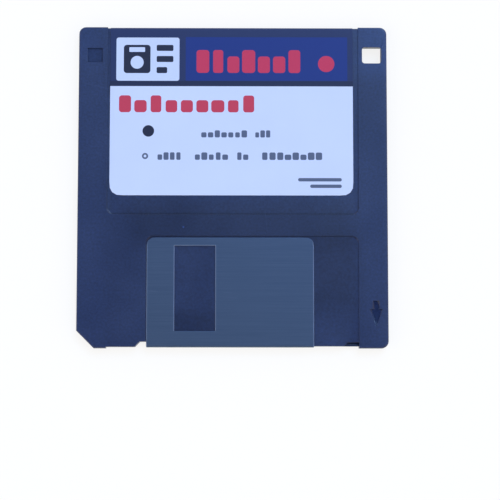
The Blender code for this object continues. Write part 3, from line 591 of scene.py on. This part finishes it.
def makeCaseFinish():
    own = casePlastic
    material, tree, shader, coordinates = newFinish(
        "case plastic", own["roughness"][0], specular=own["specular"]
    )
    grain = useGroup(tree, mouldGrain, {
        "Vector": coordinates, "Grain Scale": own["grainScale"], "Cloud Scale": own["cloudScale"],
    })
    clouds = rescale(tree, grain["Cloud"], *own["cloudRange"], 0.0, 1.0)
    tone = mixColour(tree, clouds, own["colour"], own["cloudColour"])
    mottle = noise(tree, coordinates, *own["mottleNoise"])
    tone = dim(tree, tone, rescale(tree, mottle, *noiseRange, *own["mottle"]))
    masks = [scratchMask(tree, coordinates, scratches) for scratches in own["scratches"]]
    scratched = reckon(tree, "ADD", *masks, clamp=True)
    tone = tint(tree, tone, own["scratchTone"], scratched, own["scratchShare"])
    dust = useGroup(tree, dustSpecks, {"Vector": coordinates, **own["dust"]})["Mask"]
    tone = tint(tree, tone, own["dustTone"], dust, own["dustShare"])
    gloss = rescale(tree, grain["Cloud"], *noiseRange, *own["roughness"])
    gloss = reckon(tree, "MULTIPLY_ADD", scratched, own["scratchGloss"], gloss)
    # painted shade makes the middle of the case a shade duller, and painted sheen makes its sides and upper
    # corners a shade lighter
    places = put(tree, "SeparateXYZ", {0: coordinates}).outputs
    depth = reckon(tree, "SUBTRACT", cadBox[1].z, places[2])
    onFront = rescale(tree, depth, *own["patchDepths"], 1.0, 0.0)
    fromMiddle = reckon(tree, "ABSOLUTE", places[0])
    share = rescale(tree, fromMiddle, *own["sideSheenEdge"], 1.0, own["sideSheenTone"])
    for *box, patchShare, smoother in own["shadeSheenAndSpeckPatches"]:
        inPatch = reckon(tree, "MULTIPLY", insidePatch(tree, places, *box), onFront)
        share = reckon(tree, "MULTIPLY", share, shareInside(tree, inPatch, patchShare))
        gloss = reckon(tree, "MULTIPLY_ADD", inPatch, smoother, gloss)
    tone = dim(tree, tone, share)
    # painted shade in the corner of the label recess
    tone = dim(tree, tone, shareInside(tree, paintedRecessShade(tree, places, depth), own["recessShadeShare"]))
    # the floors of the arrow and the square, told by their depth under the front face, get painted shade
    # and are smoother
    for low, high, markShade, smoother in own["shadedMarkFloors"]:
        deepEnough = reckon(tree, "GREATER_THAN", depth, low * mm)
        inMark = reckon(tree, "MULTIPLY", deepEnough, reckon(tree, "LESS_THAN", depth, high * mm))
        tone = dim(tree, tone, shareInside(tree, inMark, markShade))
        gloss = reckon(tree, "MULTIPLY_ADD", inMark, smoother, gloss)
    connect(tree, shader, tone, gloss, grain["Height"], own["grainHeight"])
    return material


def makeSliderFinish():
    own = slider
    material, tree, shader, coordinates = newFinish("slider plastic", own["roughness"])
    grain = useGroup(tree, mouldGrain, {
        "Vector": coordinates, "Grain Scale": own["grainScale"], "Cloud Scale": own["cloudScale"],
    })
    lighter = (*(own["lighter"] * part for part in own["colour"][:3]), 1.0)
    tone = mixColour(tree, grain["Cloud"], own["colour"], lighter)
    gloss = rescale(tree, grain["Cloud"], *noiseRange, *own["roughnessRange"])
    connect(tree, shader, tone, gloss, grain["Height"], own["grainHeight"])
    return material


def onOutside(point):
    # true for an edge that shows: on either face, in a recess or round the sides
    low, high = cadBox
    own = casePlastic
    nearFace = min(high.z - point.z, point.z - low.z) < own["easedUnderFace"]
    inFromSide = min(point.x - low.x, high.x - point.x, point.y - low.y, high.y - point.y)
    return nearFace or inFromSide < own["easedInFromSide"]


caseFinish = makeCaseFinish()
for pieceName, nodeName in (("frontHalf", "front_shell"), ("backHalf", "back_shell")):
    half = softCopy(pieceName, nodeName, casePlastic["edgeEasing"], onOutside)
    wear(half, caseFinish)
    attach(half, "case")
    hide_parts(nodeName)
tab = softCopy("writeProtectTab", "write_protect_slider", slider["edgeEasing"])
wear(tab, makeSliderFinish())
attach(tab, "slider")
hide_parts("write_protect_slider")
print("case and slider done")

# Shutter

shutter = dict(
    sheet=0.2 * mm,
    bendRadius=0.32 * mm,  # outer face
    corner=2.2 * mm,
    windowFromLeft=8.05 * mm,
    windowWidth=11.8 * mm,
    windowFromEnd=2.35 * mm,
    windowLength=24.7 * mm,
    rollOver=0.11 * mm,  # how far in the punched edge is rounded
    rollDepth=0.08 * mm,
    endRoll=0.2,  # share of it on the sheet's ends and on the window's side by the fold
    innerRoll=0.6,  # share of it on the inner face
    tabWidth=2.4 * mm,
    tabFromEdge=6.0 * mm,
    tabHole=1.1 * mm,
    tabReach=1.5 * mm,
    tabLip=0.45 * mm,
    tabRounding=0.05 * mm,
    gridPitch=1.5 * mm,
    colour=fromScreen(83, 99, 124),
    dark=fromScreen(77, 93, 118),
    # colour of the painted edge highlight, which the lighter scratches share
    highlightAndScratch=fromScreen(136, 150, 180),
    brushScale=9000.0,
    brushHeight=0.0015 * mm,
    shadeRange=(0.38, 0.62),
    highlightWidth=0.34 * mm,  # painted highlight along the edges
    highlightShare=0.8,
    cloudNoise=(70.0, 3.0),  # scale, detail
    cloudRange=(0.45, 0.7),
    cloudShare=0.25,
    scratches={"Lean": math.radians(3), "Scale": 1400.0, "Amount": 0.8},
    scratchShare=0.5,
    roughness=(0.46, 0.54),
)


def shutterArrays():
    # a flat blank over x and length, less its holes and with its edges rolled off, carried along a path
    # that folds it over the leading edge
    own = shutter
    low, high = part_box("shutter")
    corners = [(high.y, high.z), (low.y, high.z), (low.y, low.z), (high.y, low.z)]
    path = stripPath(corners, own["bendRadius"])
    total = path[-1, 0]
    outline = np.array((low.x, 0)), np.array((high.x, total))
    windowLeft = low.x + own["windowFromLeft"]
    windowRight = windowLeft + own["windowWidth"]
    near, far = own["windowFromEnd"], own["windowFromEnd"] + own["windowLength"]
    holes = [
        (np.array((windowLeft, start)), np.array((windowRight, end)))
        for start, end in ((near, far), (total - far, total - near))
    ]
    # the hole that each tab was bent out of ends one sheet above the middle of the folded edge
    tabLefts = (low.x + own["tabFromEdge"], high.x - own["tabFromEdge"] - own["tabWidth"])
    holeEnd = total / 2 - own["sheet"]
    for left in tabLefts:
        tabRight = left + own["tabWidth"]
        holes.append((np.array((left, holeEnd - own["tabHole"])), np.array((tabRight, holeEnd))))
    xEdges = sorted({low.x, high.x, *(hole[side][0] for hole in holes for side in (0, 1))})
    yEdges = sorted({0.0, total, *(hole[side][1] for hole in holes for side in (0, 1))})
    xs = gridLines(xEdges, own["rollOver"], own["gridPitch"])
    ys = stripLines(yEdges, own["rollOver"], own["gridPitch"], path)
    middleX, middleY = np.meshgrid((xs[1:] + xs[:-1]) / 2, (ys[1:] + ys[:-1]) / 2, indexing="ij")
    kept = np.ones(middleX.shape, bool)
    for hole in holes:
        kept &= boxDistance(middleX, middleY, *hole) > 0

    def place(x, y, level):
        x, y = roundedCorners(x, y, *outline, own["corner"])
        edge = -boxDistance(x, y, *outline, own["corner"])
        for hole in holes:
            edge = np.minimum(edge, boxDistance(x, y, *hole))
        fromEnd = np.minimum(y, total - y)
        share = np.clip(fromEnd / own["corner"], own["endRoll"], 1)
        slack = meshing["onTheLine"]
        acrossWindow = (x > windowLeft - slack) & (x < windowRight + slack)
        share = np.where(acrossWindow & (fromEnd > far - slack), own["endRoll"], share)
        roll = share * own["rollDepth"] * rollOff(edge, own["rollOver"])
        depth = roll if level == 0 else own["sheet"] - own["innerRoll"] * roll
        return alongStrip(path, x, y, depth)

    points, faces = sheetArrays(xs, ys, kept, place)
    return points, faces, tabLefts


def tabArrays(left):
    # a tab bent inwards from the folded edge, with a lip turned down at its end
    own = shutter
    low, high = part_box("shutter")
    start, top = low.y + own["sheet"] / 2, (low.z + high.z) / 2 + own["sheet"] / 2
    end = low.y + own["tabReach"] + own["sheet"]
    lipEnd = top - own["tabLip"] - own["sheet"]
    path = stripPath([(start, top), (end, top), (end, lipEnd)], own["bendRadius"])
    xs = gridLines([left, left + own["tabWidth"]], own["tabRounding"], own["gridPitch"])
    ys = path[:, 0]
    kept = np.ones((len(xs) - 1, len(ys) - 1), bool)
    return sheetArrays(xs, ys, kept, lambda x, y, level: alongStrip(path, x, y, level * own["sheet"]))


def makeShutter():
    points, faces, tabLefts = shutterArrays()
    for left in tabLefts:
        morePoints, moreFaces = tabArrays(left)
        faces = np.concatenate([faces, moreFaces + len(points)])
        points = np.concatenate([points, morePoints])
    return sheetPiece("slidingShutter", points, faces)


def shutterEdgeDistance(piece):
    # measured in the flat, from x and from y on the flaps
    own = shutter
    low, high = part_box("shutter")
    points = np.empty(len(piece.data.vertices) * 3, np.float32)
    piece.data.vertices.foreach_get("co", points)
    x, y, z = points.reshape(-1, 3).T
    outlineLow, outlineHigh = np.array((low.x, 2 * low.y - high.y)), np.array((high.x, high.y))
    windowTop = high.y - own["windowFromEnd"]
    windowLow = np.array((low.x + own["windowFromLeft"], windowTop - own["windowLength"]))
    windowHigh = windowLow + np.array((own["windowWidth"], own["windowLength"]))
    outer = -boxDistance(x, y, outlineLow, outlineHigh, own["corner"])
    window = np.abs(boxDistance(x, y, windowLow, windowHigh))
    # the sheet's end and the window's side by the fold get no painted highlight
    outer += own["highlightWidth"] * (1 - np.clip((high.y - y) / own["corner"], 0, 1))
    window += own["highlightWidth"] * (y <= windowLow[1])
    return np.minimum(outer, window)


def markEdges(piece, distance):
    # keeps each point's distance from the sheet's nearest edge for the finish to read
    attribute = piece.data.attributes.new("edgeDistance", "FLOAT", "POINT")
    attribute.data.foreach_set("value", distance.astype(np.float32))


def makeShutterFinish():
    own = shutter
    material, tree, shader, coordinates = newFinish(
        "brushed shutter steel", own["roughness"][0], metallic=1.0
    )
    lines = useGroup(tree, brushedLines, {"Vector": coordinates, "Scale": own["brushScale"]})
    shade = rescale(tree, lines["Shade"], *own["shadeRange"], 0.0, 1.0)
    tone = mixColour(tree, shade, own["dark"], own["colour"])
    # a painted highlight along the sheet's edges
    edge = put(tree, "Attribute", attribute_name="edgeDistance").outputs["Fac"]
    edgeHighlight = rescale(tree, edge, 0.0, own["highlightWidth"], 1.0, 0.0)
    tone = tint(tree, tone, own["highlightAndScratch"], edgeHighlight, own["highlightShare"])
    clouds = noise(tree, coordinates, *own["cloudNoise"])
    clouds = rescale(tree, clouds, *own["cloudRange"], 0.0, own["cloudShare"])
    tone = mixColour(tree, clouds, tone, own["dark"])
    scratched = scratchMask(tree, coordinates, own["scratches"])
    tone = tint(tree, tone, own["highlightAndScratch"], scratched, own["scratchShare"])
    gloss = rescale(tree, lines["Height"], *noiseRange, *own["roughness"])
    connect(tree, shader, tone, gloss, lines["Height"], own["brushHeight"])
    return material


slidingShutter = makeShutter()
markEdges(slidingShutter, shutterEdgeDistance(slidingShutter))
wear(slidingShutter, makeShutterFinish())
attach(slidingShutter, "shutter")
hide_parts("shutter")
print("shutter done:", len(slidingShutter.data.polygons), "faces")

# Label

label = dict(
    paper=0.1 * mm,
    bendRadius=0.52 * mm,
    corner=3.0 * mm,
    backEnd=29.5 * mm,
    edgeRounding=0.05 * mm,
    edgeDrop=0.4,  # of the paper's thickness
    gridPitch=2.0 * mm,
    ground=fromScreen(31, 45, 91),
    groundStrip=fromScreen(26, 36, 71),
    white=fromScreen(198, 212, 249),
    whitePanel=fromScreen(194, 209, 245),
    blue=fromScreen(19, 45, 123),
    red=fromScreen(187, 50, 88),
    headingRed=fromScreen(188, 58, 85),
    ink=fromScreen(28, 34, 60),
    smallInk=fromScreen(84, 96, 126),
    cloudNoise=(60.0, 3.0),  # scale, detail
    cloudShare=0.035,
    fibreNoise=(2600.0, 4.0, 0.65),
    fibreHeight=0.004 * mm,
    roughness=(0.38, 0.48),
    specular=0.36,
)
# each field: left, right, bottom, top and corner radius in millimetres, colour
printedFields = [
    (-60, 60, 29.43, 31.0, 0, "groundStrip"),
    (-60, 60, -20, 29.43, 0, "white"),
    (-34.06, -15.64, 31.03, 43.87, 0.7, "whitePanel"),
    (-13.8, 33.47, 31.05, 44.05, 0.1, "blue"),
    (-31.9, -24.1, 33.3, 41.7, 0.9, "ink"),
    (-29.9, -26.1, 34.6, 38.4, 1.9, "whitePanel"),
    (-30.3, -25.7, 39.6, 41.0, 0.2, "whitePanel"),
    (-22.3, -17.4, 39.9, 41.7, 0.4, "ink"),
    (-22.3, -17.4, 36.6, 38.4, 0.4, "ink"),
    (-22.3, -19.2, 33.3, 35.1, 0.4, "ink"),
    (24.9, 29.7, 33.7, 38.5, 2.4, "red"),
    (-26.3, -22.9, 14.5, 17.9, 1.7, "ink"),
    (19.0, 31.7, 1.4, 2.4, 0.5, "smallInk"),
    (22.5, 31.7, -0.5, 0.5, 0.5, "smallInk"),
    (-26.4, -24.6, 7.9, 9.7, 0.9, "smallInk"),
    (-25.9, -25.1, 8.4, 9.2, 0.4, "white"),
]
# each row: left, right, bottom, top and pitch in millimetres, seed, colour
printedRows = [
    (-11.0, 20.2, 33.4, 40.2, 4.46, 3.0, "red"),
    (-33.7, 6.9, 21.7, 26.7, 4.51, 31.0, "headingRed"),
    (-9.4, 4.3, 14.3, 16.4, 1.96, 7.0, "smallInk"),
    (6.3, 11.1, 14.3, 16.4, 1.60, 12.0, "smallInk"),
    (-22.1, -14.9, 7.7, 9.9, 1.80, 53.0, "smallInk"),
    (-11.3, -1.2, 7.7, 9.9, 2.02, 61.0, "smallInk"),
    (1.0, 4.7, 7.7, 9.9, 1.85, 64.0, "smallInk"),
    (8.2, 26.2, 7.7, 9.9, 2.25, 71.0, "smallInk"),
]


def makeLabel():
    # a sheet over x and length with arcs at its corners, carried along a path round the trailing edge
    own = label
    low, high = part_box("label")
    corners = [(low.y, high.z), (high.y, high.z), (high.y, low.z), (own["backEnd"], low.z)]
    path = stripPath(corners, own["bendRadius"])
    total = path[-1, 0]
    outline = np.array((low.x, 0)), np.array((high.x, total))
    xs = gridLines([low.x, high.x], own["edgeRounding"], own["gridPitch"])
    ys = stripLines([0, total], own["edgeRounding"], own["gridPitch"], path)
    kept = np.ones((len(xs) - 1, len(ys) - 1), bool)

    def place(x, y, level):
        x, y = roundedCorners(x, y, *outline, own["corner"])
        edge = -boxDistance(x, y, *outline, own["corner"])
        roll = own["edgeDrop"] * own["paper"] * rollOff(edge, own["edgeRounding"])
        return alongStrip(path, x, y, roll if level == 0 else np.full_like(x, own["paper"]))

    return sheetPiece("wrappedLabel", *sheetArrays(xs, ys, kept, place))


def makeLabelFinish():
    own = label
    material, tree, shader, coordinates = newFinish(
        "printed label", own["roughness"][0], specular=own["specular"]
    )
    places = put(tree, "SeparateXYZ", {0: coordinates}).outputs
    middle = (cadBox[0].z + cadBox[1].z) / 2
    onFront = reckon(tree, "GREATER_THAN", places[2], middle)
    tone = own["ground"]
    for *box, corner, colour in printedFields:
        sockets = {**printedBox(places, *box), "Corner": corner * mm}
        tone = tint(tree, tone, own[colour], useGroup(tree, printField, sockets)["Mask"], onFront)
    for *box, pitch, seed, colour in printedRows:
        sockets = {**printedBox(places, *box), "Pitch": pitch * mm, "Seed": seed}
        tone = tint(tree, tone, own[colour], useGroup(tree, printRow, sockets)["Mask"], onFront)
    clouds = noise(tree, coordinates, *own["cloudNoise"])
    tone = mixColour(tree, rescale(tree, clouds, *noiseRange, 0.0, own["cloudShare"]), tone, own["ink"])
    fibres = noise(tree, coordinates, *own["fibreNoise"])
    gloss = rescale(tree, fibres, *noiseRange, *own["roughness"])
    connect(tree, shader, tone, gloss, fibres, own["fibreHeight"])
    return material


wrappedLabel = makeLabel()
wear(wrappedLabel, makeLabelFinish())
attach(wrappedLabel, "case")
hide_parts("label")
print("label done:", len(wrappedLabel.data.polygons), "faces")

# Hub, film and what lies inside

hubSteel = dict(
    edgeEasing=0.05 * mm,
    colour=fromScreen(200, 202, 206),
    line=fromScreen(176, 179, 184),
    lineRange=(0.4, 0.6),
    lineScales=(5200.0, 1500.0),  # fine, coarse
    lineHeight=0.002 * mm,
    rub=fromScreen(216, 217, 219),
    # the circle where drives clamp it: radius, half width, half width with its fading edge
    clampCircle=(9.6 * mm, 0.5 * mm, 1.3 * mm),
    stain=fromScreen(160, 158, 152),
    stainNoise=(200.0, 4.0),  # scale, detail
    stainRange=(0.52, 0.8),
    stainShare=0.35,
    scratches={"Lean": math.radians(40), "Scale": 1600.0, "Amount": 0.7},
    scratchShare=0.5,
    roughness=0.28,
    roughnessRange=(0.26, 0.38),
)
film = dict(
    colour=(0.030, 0.022, 0.018, 1.0),
    band=(0.045, 0.034, 0.027, 1.0),
    ringScale=2600.0,
    ringRange=(0.35, 0.65),
    ringHeight=0.0008 * mm,
    roughness=0.20,
    roughnessRange=(0.16, 0.26),
)
liner = dict(
    colour=(0.80, 0.80, 0.78, 1.0),
    shade=(0.55, 0.56, 0.57, 1.0),
    shadeUpTo=0.12,  # from a fibre's edge
    squeeze=(1.0, 0.25, 1.0),
    fibreScales=(2600.0, 1900.0),  # squeezed, plain
    fibreHeight=0.05 * mm,
    roughness=0.95,
    sheen=0.3,
)
# small hidden pieces: finish, colour, its shade in the clouds, scale of the clouds, roughness, metallic
plainPieces = {
    "lifter": ("lifter film", (0.70, 0.62, 0.45, 1.0), (0.56, 0.496, 0.36, 1.0), 400.0, 0.35, 0.0),
    "hub_adhesive_ring": (
        "adhesive tape", (0.75, 0.72, 0.62, 1.0), (0.6375, 0.612, 0.527, 1.0), 900.0, 0.6, 0.0
    ),
    "shutter_spring": ("spring wire", (0.45, 0.45, 0.45, 1.0), (0.30, 0.30, 0.31, 1.0), 1500.0, 0.3, 1.0),
}
plainFinish = dict(
    cloudDetail=3.0,
    roughnessSpread=0.06,
    grainScale=10,  # times the scale of the clouds
    grainHeight=0.002 * mm,
)


def makeHubFinish():
    own = hubSteel
    material, tree, shader, coordinates = newFinish("stamped hub steel", own["roughness"], metallic=1.0)
    fine, coarse = (
        useGroup(tree, turnedLines, {"Vector": coordinates, "Scale": scale}) for scale in own["lineScales"]
    )
    half = reckon(tree, "MULTIPLY", coarse["Height"], 0.5)
    lines = reckon(tree, "MULTIPLY_ADD", fine["Height"], 0.5, half)
    tone = mixColour(tree, rescale(tree, lines, *own["lineRange"], 0.0, 1.0), own["line"], own["colour"])
    radius, halfWidth, reach = own["clampCircle"]
    away = reckon(tree, "ABSOLUTE", reckon(tree, "SUBTRACT", coarse["Radius"], radius))
    clamped = rescale(tree, away, halfWidth, reach, 1.0, 0.0)
    tone = tint(tree, tone, own["rub"], clamped, lines)
    stains = noise(tree, coordinates, *own["stainNoise"])
    stains = rescale(tree, stains, *own["stainRange"], 0.0, own["stainShare"])
    tone = mixColour(tree, stains, tone, own["stain"])
    scratched = scratchMask(tree, coordinates, own["scratches"])
    tone = tint(tree, tone, own["stain"], scratched, own["scratchShare"])
    gloss = rescale(tree, stains, 0.0, own["stainShare"], *own["roughnessRange"])
    connect(tree, shader, tone, gloss, fine["Height"], own["lineHeight"])
    return material


def makeFilmFinish():
    own = film
    material, tree, shader, coordinates = newFinish("oxide coating", own["roughness"])
    rings = useGroup(tree, turnedLines, {"Vector": coordinates, "Scale": own["ringScale"]})["Height"]
    tone = mixColour(tree, rescale(tree, rings, *own["ringRange"], 0.0, 1.0), own["colour"], own["band"])
    gloss = rescale(tree, rings, *noiseRange, *own["roughnessRange"])
    connect(tree, shader, tone, gloss, rings, own["ringHeight"])
    return material


def makeLinerFinish():
    own = liner
    material, tree, shader, coordinates = newFinish("liner fibre", own["roughness"])
    shader.inputs["Sheen Weight"].default_value = own["sheen"]
    squeezed = timesVector(tree, coordinates, own["squeeze"])
    fibres = [
        put(tree, "TexVoronoi", {"Vector": vector, "Scale": scale}, feature="DISTANCE_TO_EDGE").outputs[0]
        for vector, scale in zip((squeezed, coordinates), own["fibreScales"])
    ]
    web = reckon(tree, "MINIMUM", *fibres)
    tone = mixColour(tree, rescale(tree, web, 0.0, own["shadeUpTo"], 0.0, 1.0), own["colour"], own["shade"])
    connect(tree, shader, tone, None, reckon(tree, "MULTIPLY", web, -1.0), own["fibreHeight"])
    return material


def makePlainFinish(name, colour, shade, scale, roughness, metallic):
    # two tones in clouds, with roughness that follows them
    own = plainFinish
    material, tree, shader, coordinates = newFinish(name, roughness, metallic)
    clouds = noise(tree, coordinates, scale, own["cloudDetail"])
    tone = mixColour(tree, clouds, colour, shade)
    spread = own["roughnessSpread"]
    gloss = rescale(tree, clouds, *noiseRange, roughness - spread, roughness + spread)
    grain = noise(tree, coordinates, own["grainScale"] * scale)
    connect(tree, shader, tone, gloss, grain, own["grainHeight"])
    return material


driveHub = softCopy("driveHub", "hub", hubSteel["edgeEasing"])
wear(driveHub, makeHubFinish())
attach(driveHub, "disk")
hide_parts("hub")
linerFinish = makeLinerFinish()
keptNodes = {"magnetic_disk": makeFilmFinish(), "front_liner": linerFinish, "back_liner": linerFinish}
for nodeName, values in plainPieces.items():
    keptNodes[nodeName] = makePlainFinish(*values)
for nodeName, finish in keptNodes.items():
    wear(nodes[nodeName], finish)
print("hub, film, liners, lifter, tape and spring done")

# Floor, lights and camera

stage = dict(
    floorWidth=3.0,
    floorBelow=0.02 * mm,
    floorColour=(0.97, 0.97, 0.97, 1.0),
    floorGlow=0.84,  # share of the floor's own white in what the camera sees
    underside=1.5 * mm,  # how near the floor the object's underside is lit by that white
    domeRange=(0.35, 0.85),  # share of straight up, where the dome begins to darken and where it is darkest
    horizon=1.0,
    zenith=0.12,
)
# each lamp: direction it shines from as (x, y, z), strength, width of its disc in degrees, colour
lamps = dict(
    skyLight=((0.246, 0.528, 0.813), 1.65, 36, (0.42, 0.70, 1.17)),
    leftLight=((-0.9, -0.5, 0.75), 0.875, 60, (1.0, 0.87, 0.66)),
    rightLight=((0.9, -0.5, 0.75), 0.875, 60, (1.0, 0.87, 0.66)),
)
cameraView = dict(
    lens=120.62,
    lookAt=Vector((5.03, -18.65, 3.3)) * mm,
    distance=484.4 * mm,
    slant=5.835,  # degrees away from straight down
    heading=3.96,  # degrees from +Y towards +X
    roll=-0.068,
    clipping=(0.01, 20.0),
)
white = (1.0, 1.0, 1.0, 1.0)


def makeFloor():
    half = stage["floorWidth"] / 2
    level = cadBox[0].z - stage["floorBelow"]
    corners = [(-half, -half, level), (half, -half, level), (half, half, level), (-half, half, level)]
    mesh = bpy.data.meshes.new("floor")
    mesh.from_pydata(corners, [], [[0, 1, 2, 3]])
    floor = bpy.data.objects.new("floor", mesh)
    scene.collection.objects.link(floor)
    material, tree, shader, _ = newFinish("pale floor", 1.0, specular=0.0)
    shader.inputs["Base Color"].default_value = stage["floorColour"]
    path = put(tree, "LightPath").outputs
    # a ray that bounced off the object's underside has come almost no way, and finds light there too
    close = reckon(tree, "LESS_THAN", path["Ray Length"], stage["underside"])
    close = reckon(tree, "MULTIPLY", path["Is Diffuse Ray"], close)
    seen = reckon(tree, "ADD", path["Is Camera Ray"], path["Is Glossy Ray"])
    seen = reckon(tree, "ADD", seen, path["Is Transmission Ray"])
    glow = reckon(tree, "MULTIPLY", reckon(tree, "ADD", seen, close, clamp=True), stage["floorGlow"])
    glowing = put(tree, "Emission", {"Color": white, "Strength": 1.0}).outputs[0]
    lit = put(tree, "MixShader", {0: glow, 1: shader.outputs[0], 2: glowing}).outputs[0]
    clear = put(tree, "BsdfTransparent").outputs[0]
    seenFromBelow = put(tree, "NewGeometry").outputs["Backfacing"]
    oneSided = put(tree, "MixShader", {0: seenFromBelow, 1: lit, 2: clear})
    tree.links.new(oneSided.outputs[0], tree.nodes["Material Output"].inputs["Surface"])
    wear(floor, material)


def makeWorld():
    # a white dome that is darker overhead, though the camera finds white there too
    world = bpy.data.worlds.new("studio")
    world.use_nodes = True
    scene.world = world
    tree = world.node_tree
    upwards = put(tree, "SeparateXYZ", {0: put(tree, "TexCoord").outputs["Generated"]}).outputs[2]
    level = rescale(tree, upwards, *stage["domeRange"], stage["horizon"], stage["zenith"])
    path = put(tree, "LightPath").outputs
    seen = reckon(tree, "ADD", path["Is Camera Ray"], path["Is Transmission Ray"], clamp=True)
    dome = tree.nodes["Background"]
    dome.inputs["Color"].default_value = white
    tree.links.new(reckon(tree, "MAXIMUM", level, seen), dome.inputs["Strength"])


def makeLamps():
    for name, (direction, strength, width, colour) in lamps.items():
        lamp = bpy.data.lights.new(name, "SUN")
        lamp.energy = strength
        lamp.angle = math.radians(width)
        lamp.color = colour
        holder = bpy.data.objects.new(name, lamp)
        scene.collection.objects.link(holder)
        holder.rotation_euler = Vector(direction).to_track_quat("Z", "Y").to_euler()


def makeCamera():
    own = cameraView
    slant, heading = math.radians(own["slant"]), math.radians(own["heading"])
    sideways = math.sin(slant)
    forward = Vector((sideways * math.sin(heading), sideways * math.cos(heading), -math.cos(slant)))
    level = Vector((1, 0, 0)) - forward * forward.x
    across = Matrix.Rotation(math.radians(own["roll"]), 3, forward) @ level
    across.normalize()
    camera = bpy.data.objects.new("camera", bpy.data.cameras.new("camera"))
    camera.data.lens = own["lens"]
    camera.data.clip_start, camera.data.clip_end = own["clipping"]
    camera.matrix_world = Matrix((across, across.cross(forward), -forward)).transposed().to_4x4()
    camera.location = own["lookAt"] - forward * own["distance"]
    scene.collection.objects.link(camera)
    scene.camera = camera


makeFloor()
makeWorld()
makeLamps()
makeCamera()
scene.view_settings.view_transform = "Standard"
print("stage done")
